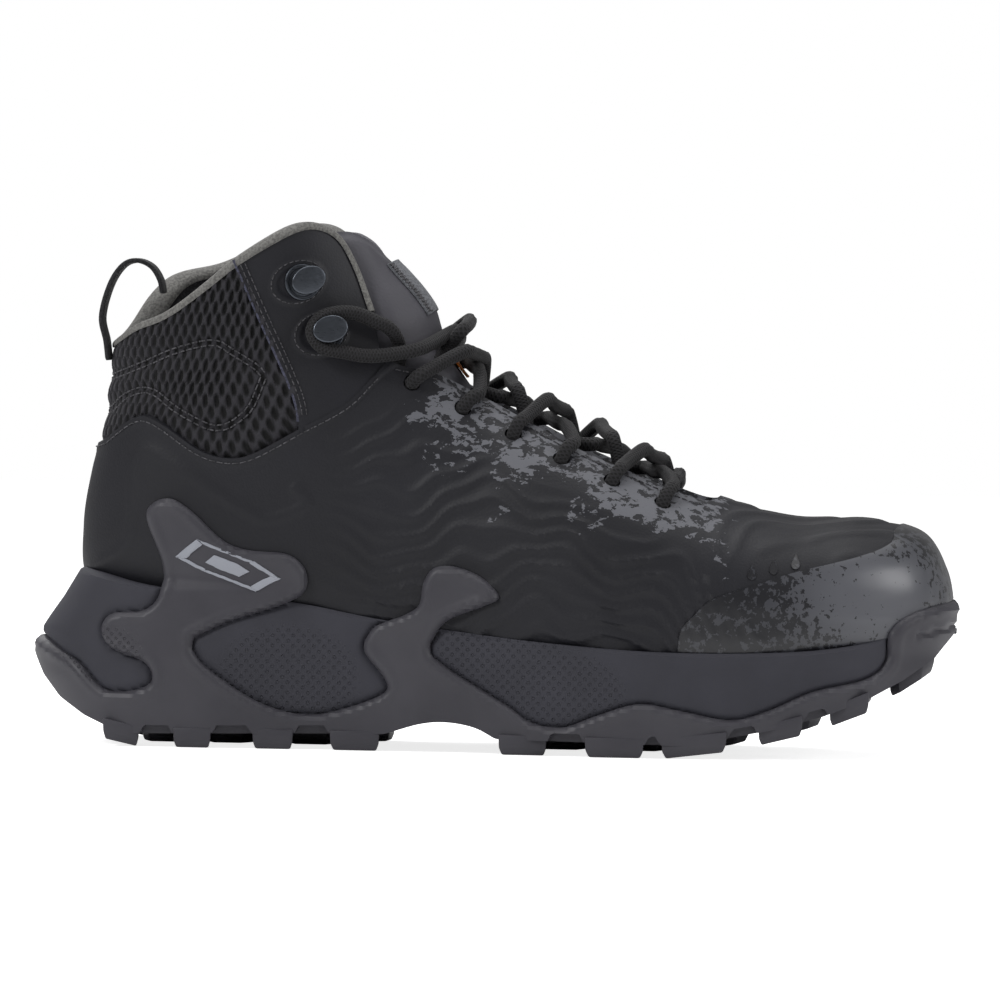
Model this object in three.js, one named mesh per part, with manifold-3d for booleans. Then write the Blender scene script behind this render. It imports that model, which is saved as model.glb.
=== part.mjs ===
// A mid-height safety work boot for the right foot, as an assembly of its separate pieces.
// Millimetres, +Z up, toe towards +X, outer (lateral) side towards -Y, ground at Z = 0.
// Every panel is a band between two offsets of one last-shaped form, cut to its outline in side view.
import * as THREE from "three";
import { mergeVertices } from "three/addons/utils/BufferGeometryUtils.js";
import Module from "manifold-3d";

// ---------- Driving dimensions ----------
const LENGTH = 305.7; // heel to toe, over the rubber
const WIDTH = 110; // across the outsole at the ball of the foot
const HEIGHT = 174; // ground to the top of the collar
const CLEARANCE = 0.3; // between two pieces that touch or are sewn together

const SHELL_WALL = 1.8; // moulded upper, collar mesh and hook panels
const STIFFENER_WALL = 2; // steel cap, heel counter and the interlining between them
const LINING_WALL = 1; // waterproof foot lining and collar lining
const COLLAR_PAD = 5; // foam in the collar
const TONGUE_PAD = 7.4; // foam in the tongue
const TONGUE_SINK = 3.6; // how far the lacing presses the tongue in, below its free top
const GUSSET_WALL = 0.8;
const EYESTAY_WALL = 1.2;
const FILM_WALL = 0.6; // glossy film over the toe
const FIN_WALL = 2.2; // rubber fins that climb the upper
const BINDING_HEIGHT = 2.6;
const BINDING_PROUD = 0.4; // how far the collar binding stands off the upper
const EYESTAY_WIDTH = 15;
const TONGUE_SIDE = 15.5; // between the tongue and the edge of the throat, where the lace passes
const EDGE_STRIP = 6; // soft strip along the rear edge of the steel cap

const LUG_HEIGHT = 4.2;
const LUG_INWARD = 17; // a perimeter lug's reach from the edge of the sole
const OUTSOLE_PLATE = 3.6;
const CUP_WALL = 1.5; // rubber side wall, outside the midsole
const BOARD_THICKNESS = 2.6;
const LASTING_MARGIN = 1.2; // the toe cap, counter and interlining end this far above the board
const FOOTBED_THICKNESS = 5;
const SHANK = { from: -78, to: 6, halfWidth: 16, thickness: 2 };

const LACE_DIAMETER = 4.2;
const EYELET_RADIUS = 3.4;
const AGLET_LENGTH = 22;
const AGLET_RADIUS = 1.5;
const HOOK = { length: 11.6, width: 8.6, plate: 1.3, stem: 2.1, standoff: 7, flange: 3.8 };
const WASHER = { outer: 6, hole: 2.6, thickness: 0.8 };
const PULL_LOOP = { width: 13, thickness: 1.9 };

// How finely the curved shapes are divided.
const AROUND = 18; // corners of each section of the form
const SOLE_CORNERS = 40;
const LACE_STEPS = 230;
const LACE_SIDES = 6;

// The outlines below belong to the reference size and are graded to the size asked for.
const GRADE = { x: LENGTH / 305.7, y: WIDTH / 110, z: HEIGHT / 174 };

// ---------- Solids ----------
const wasm = await Module();
wasm.setup();

// A closed geometry as a solid, turned the right way out.
function solid(geometry) {
  const bare = geometry.clone();
  bare.deleteAttribute("normal");
  bare.deleteAttribute("uv");
  const merged = mergeVertices(bare, 1e-4);
  const triangles = new Uint32Array(merged.index.array);
  const points = new Float32Array(merged.attributes.position.array);
  if (signedVolume(points, triangles) < 0) {
    for (let i = 0; i < triangles.length; i += 3) {
      [triangles[i + 1], triangles[i + 2]] = [triangles[i + 2], triangles[i + 1]];
    }
  }
  return new wasm.Manifold(
    new wasm.Mesh({ numProp: 3, vertProperties: points, triVerts: triangles }),
  );
}

function signedVolume(points, triangles) {
  const corner = [new THREE.Vector3(), new THREE.Vector3(), new THREE.Vector3()];
  let sum = 0;
  for (let i = 0; i < triangles.length; i += 3) {
    corner.forEach((v, k) => v.fromArray(points, 3 * triangles[i + k]));
    sum += corner[0].dot(corner[1].clone().cross(corner[2]));
  }
  return sum / 6;
}

function geometryOf(body) {
  const mesh = body.getMesh();
  const geometry = new THREE.BufferGeometry();
  const flat = [];
  for (let i = 0; i < mesh.numVert; i += 1) {
    const at = i * mesh.numProp;
    flat.push(mesh.vertProperties[at], mesh.vertProperties[at + 1], mesh.vertProperties[at + 2]);
  }
  geometry.setAttribute("position", new THREE.Float32BufferAttribute(flat, 3));
  geometry.setIndex([...mesh.triVerts]);
  geometry.computeVertexNormals();
  return geometry;
}

// The largest connected body of a solid, without the slivers a cut can leave.
function mainBody(body) {
  const pieces = body.decompose();
  return pieces.reduce((best, piece) => (piece.volume() > best.volume() ? piece : best));
}

// A closed solid through rings of equal length, with both ends filled.
function loft(rings) {
  const count = rings[0].length;
  const points = rings.flat();
  const index = [];
  for (let r = 0; r + 1 < rings.length; r += 1) {
    for (let i = 0; i < count; i += 1) {
      const a = r * count + i;
      const b = r * count + ((i + 1) % count);
      index.push(a, b, b + count, a, b + count, a + count);
    }
  }
  fillRing(rings[0], 0, true, index);
  fillRing(rings.at(-1), (rings.length - 1) * count, false, index);
  const geometry = new THREE.BufferGeometry().setFromPoints(points);
  geometry.setIndex(index);
  return solid(geometry);
}

// Triangles over a flat ring: its two widest directions are taken as the plane.
function fillRing(ring, first, flipped, index) {
  const box = new THREE.Box3().setFromPoints(ring);
  const size = box.getSize(new THREE.Vector3()).toArray();
  const thin = size.indexOf(Math.min(...size));
  const [p, q] = [0, 1, 2].filter((axis) => axis !== thin);
  const flat = ring.map((v) => new THREE.Vector2(v.getComponent(p), v.getComponent(q)));
  const faces = THREE.ShapeUtils.triangulateShape(flat, []);
  const ccw = THREE.ShapeUtils.area(flat) > 0;
  for (const [a, b, c] of faces) {
    const order = flipped === ccw ? [a, c, b] : [a, b, c];
    index.push(...order.map((i) => i + first));
  }
}

// ---------- Outlines ----------
const side = (x, z) => new THREE.Vector2(x * GRADE.x, z * GRADE.z);
const sides = (list) => list.map(([x, z]) => side(x, z));

// A smooth run through the points, with the ends kept.
function smooth(list, perSpan = 1) {
  const curve = new THREE.SplineCurve(sides(list));
  return curve.getPoints(perSpan * (list.length - 1));
}

// An outline moved sideways, to the left of its direction, by a distance.
function shifted(line, distance) {
  return line.map((point, i) => {
    const before = line[Math.max(i - 1, 0)];
    const after = line[Math.min(i + 1, line.length - 1)];
    const along = after.clone().sub(before).normalize();
    return new THREE.Vector2(point.x - along.y * distance, point.y + along.x * distance);
  });
}

const raised = (line, height) => line.map((p) => new THREE.Vector2(p.x, p.y + height));

const FAR = 400; // past every side of the boot

// A side-view region from y = -FAR to FAR.
const region = (outline) => crossRegion([[-FAR, outline], [FAR, outline]]);

// A side-view region whose outline changes across the boot, given at several values of y.
function crossRegion(stations) {
  return loft(stations.map(([y, outline]) => outline.map((p) => new THREE.Vector3(p.x, y, p.y))));
}

const below = (line) => region([
  ...line,
  new THREE.Vector2(FAR, line.at(-1).y),
  new THREE.Vector2(FAR, -FAR),
  new THREE.Vector2(-FAR, -FAR),
  new THREE.Vector2(-FAR, line[0].y),
]);

const above = (line) => region([
  ...line,
  new THREE.Vector2(FAR, line.at(-1).y),
  new THREE.Vector2(FAR, FAR),
  new THREE.Vector2(-FAR, FAR),
  new THREE.Vector2(-FAR, line[0].y),
]);

// A plan-view region from one height to another.
function plan(points, low, high) {
  const shape = new THREE.Shape(points);
  const geometry = new THREE.ExtrudeGeometry(shape, { depth: high - low, bevelEnabled: false });
  return solid(geometry.translate(0, 0, low));
}

// ---------- The last-shaped form ----------
// Stations run from the toe over the instep to the collar. Each is a flat section through B (sole or
// heel) and T (instep or front of the ankle), with its half-widths, the share of its height where it is
// widest, and how square it is towards B and T.
const STATIONS = [
  { b: [150.5, 42], t: [151, 50], out: 9, in: 9, mid: 9, widest: 0.5, lower: 2.2, upper: 2.2 },
  { b: [147.5, 38], t: [148.5, 61], out: 20.5, in: 15.5, mid: 7.5, widest: 0.42, lower: 2.6, upper: 2.2 },
  { b: [139, 35], t: [140.5, 73.5], out: 31.5, in: 26, mid: 5, widest: 0.38, lower: 3.4, upper: 2.3 },
  { b: [124, 32.5], t: [121, 78], out: 40, in: 37, mid: 2.5, widest: 0.36, lower: 4, upper: 2.4 },
  { b: [104, 29.5], t: [100, 78], out: 45.5, in: 44, mid: 1, widest: 0.36, lower: 4.5, upper: 2.4 },
  { b: [84, 27.5], t: [80, 82.5], out: 49.5, in: 47, mid: 0, widest: 0.35, lower: 5, upper: 2.4 },
  { b: [60, 26.5], t: [58, 90], out: 51.5, in: 48, mid: 0, widest: 0.34, lower: 5, upper: 2.5 },
  { b: [36, 27], t: [35, 100.5], out: 51, in: 45.5, mid: 0, widest: 0.34, lower: 5, upper: 2.6 },
  { b: [8, 29], t: [15, 110.5], out: 46.5, in: 41, mid: 0, widest: 0.36, lower: 5, upper: 2.6 },
  { b: [-22, 32], t: [1, 117], out: 41, in: 38.5, mid: 0, widest: 0.38, lower: 5, upper: 2.6 },
  { b: [-55, 37], t: [-9, 126], out: 38, in: 37.5, mid: 0, widest: 0.4, lower: 4.5, upper: 2.6 },
  { b: [-90, 40.5], t: [-15, 135], out: 37, in: 37, mid: 0, widest: 0.42, lower: 4, upper: 2.5 },
  { b: [-120, 43], t: [-19, 141], out: 36.5, in: 36.5, mid: 0, widest: 0.44, lower: 3.2, upper: 2.4 },
  { b: [-136, 53], t: [-22, 147], out: 36.5, in: 36.5, mid: 0, widest: 0.45, lower: 2.4, upper: 2.3 },
  { b: [-138, 72], t: [-26, 152.5], out: 36.5, in: 36.5, mid: 0, widest: 0.46, lower: 2.1, upper: 2.2 },
  { b: [-135.5, 90], t: [-31, 158], out: 36, in: 36, mid: 0, widest: 0.46, lower: 2, upper: 2.1 },
  { b: [-131.5, 106], t: [-35, 162], out: 35.5, in: 35.5, mid: 0, widest: 0.47, lower: 2, upper: 2.1 },
  { b: [-130, 122], t: [-38, 167], out: 35, in: 35, mid: 0, widest: 0.48, lower: 2, upper: 2.1 },
  { b: [-128, 137], t: [-41, 172], out: 35, in: 35, mid: 0, widest: 0.5, lower: 2, upper: 2.1 },
  { b: [-124, 158], t: [-46, 180], out: 35.5, in: 35.5, mid: 0, widest: 0.5, lower: 2, upper: 2.1 },
  { b: [-120, 185], t: [-55, 190], out: 36, in: 36, mid: 0, widest: 0.5, lower: 2, upper: 2.1 },
].map((s) => ({
  ...s,
  b: side(...s.b),
  t: side(...s.t),
  out: s.out * GRADE.y,
  in: s.in * GRADE.y,
  mid: s.mid * GRADE.y,
}));

const TOE_ZONE = 112 * GRADE.x; // in front of this the toe wall's thickness also counts along X
const TOE_FADE = 34 * GRADE.x;

const power = (value, exponent) => Math.sign(value) * Math.abs(value) ** exponent;

// The section's point at an angle, inset by a depth. Angle 0 is the outer side, 90 degrees is T.
function sectionPoint(s, angle, depth) {
  const height = s.b.distanceTo(s.t);
  const along = s.t.clone().sub(s.b).divideScalar(height);
  const tall = height - 2 * depth;
  const rising = Math.sin(angle) > 0;
  const exponent = 2 / (rising ? s.upper : s.lower);
  const reach = rising ? 1 - s.widest : s.widest;
  const lift = depth + tall * (s.widest + reach * power(Math.sin(angle), exponent));
  const across = power(Math.cos(angle), exponent);
  const halfWidth = (across > 0 ? s.out : s.in) - depth;
  const nose = THREE.MathUtils.clamp((s.b.x - TOE_ZONE) / TOE_FADE, 0, 1);
  return new THREE.Vector3(
    s.b.x + along.x * lift - depth * nose,
    s.mid - across * halfWidth,
    s.b.y + along.y * lift,
  );
}

const forms = new Map();

// The whole form, moved inwards by a depth (outwards where it is negative).
function form(depth) {
  if (!forms.has(depth)) {
    const rings = STATIONS.map((s) =>
      Array.from({ length: AROUND }, (_, i) => sectionPoint(s, (2 * Math.PI * i) / AROUND, depth)),
    );
    forms.set(depth, loft(rings));
  }
  return forms.get(depth);
}

const band = (outer, inner) => form(outer).subtract(form(inner));

// The station between two neighbours, at a share of the way.
function between(a, b, share) {
  const mix = (p, q) => p + (q - p) * share;
  const mixed = { b: a.b.clone().lerp(b.b, share), t: a.t.clone().lerp(b.t, share) };
  for (const key of ["out", "in", "mid", "widest", "lower", "upper"]) mixed[key] = mix(a[key], b[key]);
  return mixed;
}

const OUTER = -1; // the side of the boot, as the sign of Y
const INNER = 1;

// Where a place in side view lies on the form's skin: the station, in fractions, and the angle.
function locate(x, z, hand) {
  const p = side(x, z);
  const turn = (s) => s.t.clone().sub(s.b).cross(p.clone().sub(s.b));
  const last = STATIONS.length - 2;
  let k = 0;
  while (k < last && turn(STATIONS[k + 1]) > 0) k += 1;
  let [low, high] = [0, 1];
  for (let step = 0; step < 30; step += 1) {
    const share = (low + high) / 2;
    if (turn(between(STATIONS[k], STATIONS[k + 1], share)) > 0) low = share;
    else high = share;
  }
  const s = between(STATIONS[k], STATIONS[k + 1], low);
  const line = s.t.clone().sub(s.b);
  const t = THREE.MathUtils.clamp(p.clone().sub(s.b).dot(line) / line.lengthSq(), 0, 1);
  const rising = t > s.widest;
  const share = Math.abs(t - s.widest) / (rising ? 1 - s.widest : s.widest);
  const sharp = rising ? s.upper : s.lower;
  const angle = Math.atan2(share ** (sharp / 2), (1 - share ** sharp) ** 0.5);
  const turned = rising ? angle : -angle;
  return { station: k + low, angle: hand === OUTER ? turned : Math.PI - turned };
}

// The point of the skin at a station and an angle, raised off the skin, with the skin's normal.
function onSkin({ station, angle }, height = 0) {
  const at = (ds, da) => {
    const along = THREE.MathUtils.clamp(station + ds, 0, STATIONS.length - 1.001);
    const k = Math.floor(along);
    return sectionPoint(between(STATIONS[k], STATIONS[k + 1], along - k), angle + da, 0);
  };
  const around = at(0, 0.02).sub(at(0, -0.02));
  const forward = at(0.05, 0).sub(at(-0.05, 0));
  const normal = around.cross(forward).normalize();
  return { point: at(0, 0).addScaledVector(normal, height), normal };
}

const skin = (x, z, hand, height = 0) => onSkin(locate(x, z, hand), height);

// ---------- Lines of the side view ----------
const BOARD_LINE = sides([
  [-139, 43.6], [-120, 43], [-90, 40.5], [-55, 37], [-22, 32], [8, 29], [36, 27], [60, 26.5],
  [84, 27.5], [104, 29.5], [124, 32.5], [139, 35], [147.5, 38], [152, 42],
]);
const boardTop = raised(BOARD_LINE, BOARD_THICKNESS);

const FEATHER_LINE = smooth([
  [-146, 58], [-109, 52.3], [-67, 48.5], [-35, 43], [10, 37.6], [57, 34.6], [99, 35.2], [122, 37.8],
  [132, 41], [140, 47.5], [154, 51.5],
]);

// The ground side of the outsole, lug tips included: flat, with the heel and toe turned up.
const GROUND_LINE = sides([
  [-154, 27], [-149, 18], [-143, 11], [-134, 5.5], [-124, 1.4], [-116, 0], [64, 0], [78, 2.4],
  [94, 5.6], [110, 10], [124, 15.5], [136, 22], [146, 29], [154, 39],
]);
const ARCH_LINE = smooth([[-34, 5.6], [-22, 9.2], [-13, 9.9], [-4, 8.4], [3, 5]]);

// The outer collar edge, from the heel over the ankle and down the front to the throat.
const RIM_OUTER = [
  [-146, 121], [-133, 129], [-126, 135], [-119, 139.6], [-110, 143], [-97.5, 152.1], [-87.4, 160.3],
  [-75, 168.2], [-66.5, 172.8], [-61, 174], [-55, 172.2], [-50.5, 168.1], [-45, 157.5], [-39.4, 143.3],
];
const RIM_INNER = [
  [-146, 121], [-133, 130], [-126, 138], [-120, 148], [-112, 156], [-98, 159], [-87.4, 163.5],
  [-75, 169.2], [-66.5, 172.8], [-61, 174], [-55, 172.2], [-50.5, 168.1], [-45, 157.5], [-39.4, 143.3],
];
const THROAT = [
  [-37.6, 133], [-35, 127.5], [-28, 125.6], [-18, 123], [-7, 117.6], [12, 107.8], [28, 99.6],
  [47.5, 91.4], [62, 85.6], [71, 83.4],
];
const THROAT_END = [[74, 86], [77, 96]];
const RIM_SHIFT_FROM = -14; // the collar climbs from its outer to its inner edge across these y
const RIM_SHIFT_TO = 18;

// Everything outside the collar edge and the throat: what is cut off each panel.
function openingCut(inset) {
  const cut = (rim) => [
    ...shifted(smooth(rim), -inset.rim),
    ...shifted(smooth(THROAT), -inset.throat),
    ...sides(THROAT_END),
    new THREE.Vector2(FAR, 120),
    new THREE.Vector2(FAR, FAR),
    new THREE.Vector2(-FAR, FAR),
    new THREE.Vector2(-FAR, 110 * GRADE.z),
  ];
  return crossRegion([
    [-FAR, cut(RIM_OUTER)],
    [RIM_SHIFT_FROM * GRADE.y, cut(RIM_OUTER)],
    [RIM_SHIFT_TO * GRADE.y, cut(RIM_INNER)],
    [FAR, cut(RIM_INNER)],
  ]);
}

const WAVE_LINE = smooth([
  [-150, 97], [-132.6, 99.4], [-126.5, 103.1], [-121, 107], [-115.5, 108.4], [-108.7, 105.5],
  [-97, 97.8], [-88, 95.2], [-79.4, 96.6], [-64.3, 104.9], [-49, 113.6], [-40, 123], [-33, 129],
  [-10, 137],
]);
const HOOK_SEAM = smooth([
  [-94, 178], [-85.5, 158], [-77.1, 139.6], [-71.5, 128], [-66, 115.4], [-64.2, 106], [-63.5, 90],
]);
const CAP_REAR = sides([[88, 120], [91, 76], [96, 50], [92, 20]]);
const COUNTER_FRONT = sides([[-104, 120], [-100, 92], [-86, 70], [-72, 50], [-70, 20]]);

// Regions in front of and behind a line that runs from top to bottom.
const ahead = (line) => region([
  ...line, new THREE.Vector2(FAR, line.at(-1).y), new THREE.Vector2(FAR, line[0].y),
]);
const behind = (line) => region([
  ...line, new THREE.Vector2(-FAR, line.at(-1).y), new THREE.Vector2(-FAR, line[0].y),
]);

const half = (hand, from = 0) => {
  const [near, far] = hand === OUTER ? [-FAR, -from] : [from, FAR];
  return crossRegion([near, far].map((y) => [y, [
    new THREE.Vector2(-FAR, -FAR), new THREE.Vector2(FAR, -FAR),
    new THREE.Vector2(FAR, FAR), new THREE.Vector2(-FAR, FAR),
  ]]));
};

// ---------- Depths of the layers, from the outer face inwards ----------
const STIFFENER_DEPTH = SHELL_WALL + CLEARANCE;
const LINING_DEPTH = STIFFENER_DEPTH + STIFFENER_WALL + CLEARANCE;
const FOOTBED_DEPTH = LINING_DEPTH + LINING_WALL + CLEARANCE;
const COLLAR_LINING_DEPTH = STIFFENER_DEPTH + COLLAR_PAD + CLEARANCE;
const TONGUE_DEPTH = 0.6;
const TONGUE_FIXED_DEPTH = TONGUE_DEPTH + TONGUE_SINK;
const GUSSET_DEPTH = TONGUE_FIXED_DEPTH + TONGUE_PAD + CLEARANCE;

const layer = (depth, wall) => band(depth, depth + wall);

// The throat in plan, from above: as wide as the skin is at its edge, plus a margin on each side.
function throatPlan(margin) {
  const reach = (x, z) => Math.abs(skin(x, z, OUTER).point.y) + margin;
  const edge = THROAT.slice(1).map(([x, z]) => new THREE.Vector2(x * GRADE.x, reach(x, z)));
  const mirrored = edge.map((p) => new THREE.Vector2(p.x, -p.y)).reverse();
  return plan([...edge, ...mirrored], 60 * GRADE.z, HEIGHT);
}

const panelCut = openingCut({ rim: BINDING_HEIGHT + CLEARANCE, throat: 0 });
const aboveWave = above(shifted(WAVE_LINE, CLEARANCE / 2));
const belowWave = below(shifted(WAVE_LINE, -CLEARANCE / 2));
const overBoard = above(raised(boardTop, CLEARANCE));
const overLastingEdge = above(raised(boardTop, CLEARANCE + LASTING_MARGIN));

// ---------- Sole ----------
// The sole's plan, heel first, then the outer side, the toe and the inner side.
const SOLE_OUTER = [
  [-153.1, 0], [-147, -22], [-128, -37], [-95, -41], [-55, -39.5], [-15, -43], [20, -51.5], [45, -55],
  [75, -53.5], [104, -48.5], [126, -39.5], [143, -24], [150.5, -7],
];
const SOLE_INNER = [
  [152.6, 9], [149, 23.5], [139, 36], [120, 45], [90, 51.5], [65, 52], [35, 48.5], [0, 40], [-40, 36.5],
  [-80, 38], [-115, 39], [-140, 30],
];
const soleCurve = new THREE.CatmullRomCurve3(
  [...SOLE_OUTER, ...SOLE_INNER].map(([x, y]) => new THREE.Vector3(x * GRADE.x, y * GRADE.y, 0)),
  true,
);
const soleRing = soleCurve.getSpacedPoints(SOLE_CORNERS).slice(0, SOLE_CORNERS);

// Height, how far the heel and the toe draw in, and how far the whole edge draws in.
const SOLE_LEVELS = [
  [-2, 11, 0, 0], [12, 6.5, 0, 0], [22, 1.5, 0, 0], [30, 0, 0, 0], [38, 1, 0, 0.6],
  [48, 7, 0.4, 1.8], [62, 13.5, 3, 3.6],
];

// The whole sole as one flared block, drawn in by an inset.
function soleBlock(inset) {
  return loft(SOLE_LEVELS.map(([z, heel, toe, edge]) =>
    soleRing.map((p, i) => {
      const before = soleRing[(i + SOLE_CORNERS - 1) % SOLE_CORNERS];
      const after = soleRing[(i + 1) % SOLE_CORNERS];
      const along = after.clone().sub(before).normalize();
      const inward = new THREE.Vector3(-along.y, along.x, 0).multiplyScalar(inset + edge);
      const rear = THREE.MathUtils.clamp((-100 - p.x / GRADE.x) / 53, 0, 1) ** 1.5;
      const front = THREE.MathUtils.clamp((p.x / GRADE.x - 110) / 42, 0, 1) ** 1.5;
      return new THREE.Vector3(p.x + inward.x + heel * rear - toe * front, p.y + inward.y, z * GRADE.z);
    }),
  ));
}

const HEEL_SILL = 45; // where the plate's underside stops following the ground line
const plateUnder = [
  ...raised(GROUND_LINE, LUG_HEIGHT).filter((p) => p.x < -HEEL_SILL * GRADE.x),
  ...ARCH_LINE,
  ...raised(GROUND_LINE, LUG_HEIGHT).filter((p) => p.x > 20 * GRADE.x),
];
const plateTop = raised(plateUnder, OUTSOLE_PLATE);

const HEEL_POD = smooth([
  [-158, 36], [-151.5, 34.7], [-144, 30.7], [-137, 27], [-130.5, 20.5], [-125.7, 17.9],
  [-117, 18.4], [-111.2, 21.5], [-113.5, 27.5], [-125, 32], [-128.8, 38], [-125.5, 43.3],
  [-115, 44.5], [-110, 48.3], [-108, 55],
]);
const HEEL_FIN = smooth([
  [-108, 56], [-109.2, 62.3], [-114.3, 75], [-112, 80], [-106, 81.5], [-99, 77.5], [-88.4, 68.2],
  [-79.9, 65.1], [-67, 64], [-61, 59], [-61, 52], [-68, 47.5], [-86, 41.5], [-97.5, 36],
]);
const MID_POD = smooth([
  [-98, 32.5], [-93.1, 26.5], [-76, 15.5], [-60.8, 11.4], [-48, 13.5], [-34.5, 19], [-34.5, 24],
  [-41.3, 33], [-38.5, 40], [-33, 43],
]);
const MID_FIN = smooth([
  [-29, 44.3], [-23.5, 48], [-22, 55.6], [-18.5, 60.5], [-11.7, 61], [-3, 57.6], [2.8, 51.5],
  [-2, 48.4], [-14.3, 43.1], [-19.8, 35.3],
]);
const FORE_POD = smooth([
  [-19, 31.5], [-10.4, 25.5], [6.4, 15.8], [14, 10.8], [24.5, 9.3], [36, 13.5], [50, 17.6],
  [64, 15.5], [80, 12.8], [92, 15.8], [107, 22.3], [124, 26.3], [131.2, 32], [132.8, 42],
  [139, 47.6], [151, 51], [160, 51.5],
]);
const CAGE = [
  ...HEEL_POD, ...HEEL_FIN, ...MID_POD, ...MID_FIN, ...FORE_POD,
  new THREE.Vector2(FAR, 40), new THREE.Vector2(FAR, -FAR), new THREE.Vector2(-FAR, -FAR),
  new THREE.Vector2(-FAR, 36 * GRADE.z),
];

const midsoleRoom = soleBlock(CUP_WALL - CLEARANCE).intersect(above(plateTop));

function lugPlan(from, to, hand) {
  const width = (hand === OUTER ? 60 : 58) * GRADE.y;
  const middle = (from + to) / 2;
  const edge = edgeAt(middle * GRADE.x, hand);
  const root = edge - hand * LUG_INWARD;
  return [
    new THREE.Vector2(from * GRADE.x, hand * width),
    new THREE.Vector2(to * GRADE.x, hand * width),
    new THREE.Vector2((to - 1) * GRADE.x, root + hand * 5),
    new THREE.Vector2((middle + 2) * GRADE.x, root),
    new THREE.Vector2((from + 2) * GRADE.x, root + hand * 3),
  ];
}

// The y of the sole's edge at an x, on one side.
function edgeAt(x, hand) {
  const near = soleRing.filter((p) => Math.sign(p.y) === hand);
  return near.reduce((best, p) => (Math.abs(p.x - x) < Math.abs(best.x - x) ? p : best)).y;
}

const SIDE_LUGS = [
  [-127, -115], [-103.5, -91], [-77.5, -64], [-52, -35.5],
  [4, 20], [32.5, 52], [57.5, 79], [89, 103.5], [112, 125],
];
const MIDDLE_LUGS = [[-118, -106], [-97, -84], [-70, -56], [12, 28], [38, 54], [64, 80], [90, 104]];
const TIP_LUGS = [[131, 141, -9], [131, 141, 12]];

function lugs() {
  const low = -2;
  const high = 40;
  const outlines = [];
  for (const hand of [OUTER, INNER]) {
    for (const [from, to] of SIDE_LUGS) outlines.push(lugPlan(from, to, hand));
  }
  const chevron = (from, to, y, reach) => [
    [from + 3, y - reach], [to + 1, y - reach], [to + 5, y], [to + 1, y + reach],
    [from + 3, y + reach], [from, y],
  ];
  const flat = (list) => list.map(([x, y]) => new THREE.Vector2(x * GRADE.x, y * GRADE.y));
  for (const [from, to] of MIDDLE_LUGS) outlines.push(flat(chevron(from, to, 1, from > 0 ? 11 : 8)));
  for (const [from, to, y] of TIP_LUGS) outlines.push(flat(chevron(from, to, y, 7)));
  let all = plan(outlines[0], low, high);
  for (const outline of outlines.slice(1)) all = all.add(plan(outline, low, high));
  const deep = raised(GROUND_LINE, LUG_HEIGHT + 1.5);
  return all.intersect(above(GROUND_LINE)).intersect(below(deep)).intersect(soleBlock(0));
}

function outsole() {
  const rim = soleBlock(0).add(form(-FIN_WALL - CLEARANCE)).intersect(region(CAGE));
  const walls = rim.intersect(above(plateUnder));
  return walls.add(lugs()).subtract(midsoleRoom).subtract(form(-CLEARANCE));
}

const shankPlan = (grow) => {
  const { from, to, halfWidth } = SHANK;
  const shape = [];
  for (const [end, turn] of [[to, 1], [from, -1]]) {
    for (let i = -3; i <= 3; i += 1) {
      const angle = (Math.PI * i) / 6;
      shape.push(new THREE.Vector2(
        end * GRADE.x + turn * (Math.cos(angle) * (halfWidth + grow) - halfWidth),
        turn * Math.sin(angle) * (halfWidth + grow),
      ));
    }
  }
  return plan(shape, 0, 60 * GRADE.z);
};
const shankUnder = raised(BOARD_LINE, -CLEARANCE * 2 - SHANK.thickness);

function midsole() {
  const pocket = shankPlan(CLEARANCE).intersect(above(raised(shankUnder, -CLEARANCE)));
  return soleBlock(CUP_WALL)
    .intersect(above(raised(plateTop, CLEARANCE)))
    .intersect(below(FEATHER_LINE))
    .subtract(form(-CLEARANCE))
    .subtract(pocket);
}

const archShank = () =>
  shankPlan(0).intersect(above(shankUnder)).intersect(below(raised(BOARD_LINE, -CLEARANCE * 2)));

// ---------- Lacing ----------
const EYELETS = [[-27.4, 121], [-10.6, 113], [6.3, 104.8], [22.5, 97], [39.3, 90], [56, 83]];
const EYESTAY_EDGE = [[-22, 124.4], [-6, 117], [10.5, 108.6], [26, 100.6], [42.5, 93.4], [58.5, 87.2]];
const LOWER_HOOK = { x: -56, z: 136.6, tilt: 18 };
const UPPER_HOOK = { x: -64, z: 153.4, tilt: 24 };

const eyeletDrill = (place, hand) => {
  const { point, normal } = skin(...place, hand);
  const bore = new THREE.CylinderGeometry(EYELET_RADIUS, EYELET_RADIUS, 18, 10);
  bore.applyQuaternion(new THREE.Quaternion().setFromUnitVectors(new THREE.Vector3(0, 1, 0), normal));
  return solid(bore.translate(...point));
};
const eyeletDrills = [OUTER, INNER]
  .flatMap((hand) => EYELETS.map((place) => eyeletDrill(place, hand)))
  .reduce((all, drill) => all.add(drill));

const RADIUS = LACE_DIAMETER / 2;
const UNDER = -(SHELL_WALL + CLEARANCE + EYESTAY_WALL + CLEARANCE + RADIUS); // below the eyestay
const LOW = -TONGUE_FIXED_DEPTH + 2.1 + RADIUS; // the lower strand of a crossing
const HIGH = LOW + LACE_DIAMETER + CLEARANCE; // the strand that passes over it
const OVER_EDGE = RADIUS + 1;
const HOOKED = CLEARANCE + WASHER.thickness + CLEARANCE + WASHER.thickness + CLEARANCE + RADIUS;

const toward = (a, b, share) => a.map((v, i) => v + (b[i] - v) * share);

// Down into an eyelet from above, and back under the eyestay to its edge.
function throughEyelet(k, hand) {
  const at = (share, height) => skin(...toward(EYELETS[k], EYESTAY_EDGE[k], share), hand, height).point;
  return [
    at(0.8, OVER_EDGE), at(0.35, OVER_EDGE), at(0.02, 0), at(0, UNDER + 1.6),
    at(0.35, UNDER - 0.8), at(0.9, UNDER - 0.8),
    acrossThroat(EYESTAY_EDGE[k], EYESTAY_EDGE[k], hand, 0.275, UNDER + 2.2),
  ];
}

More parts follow.
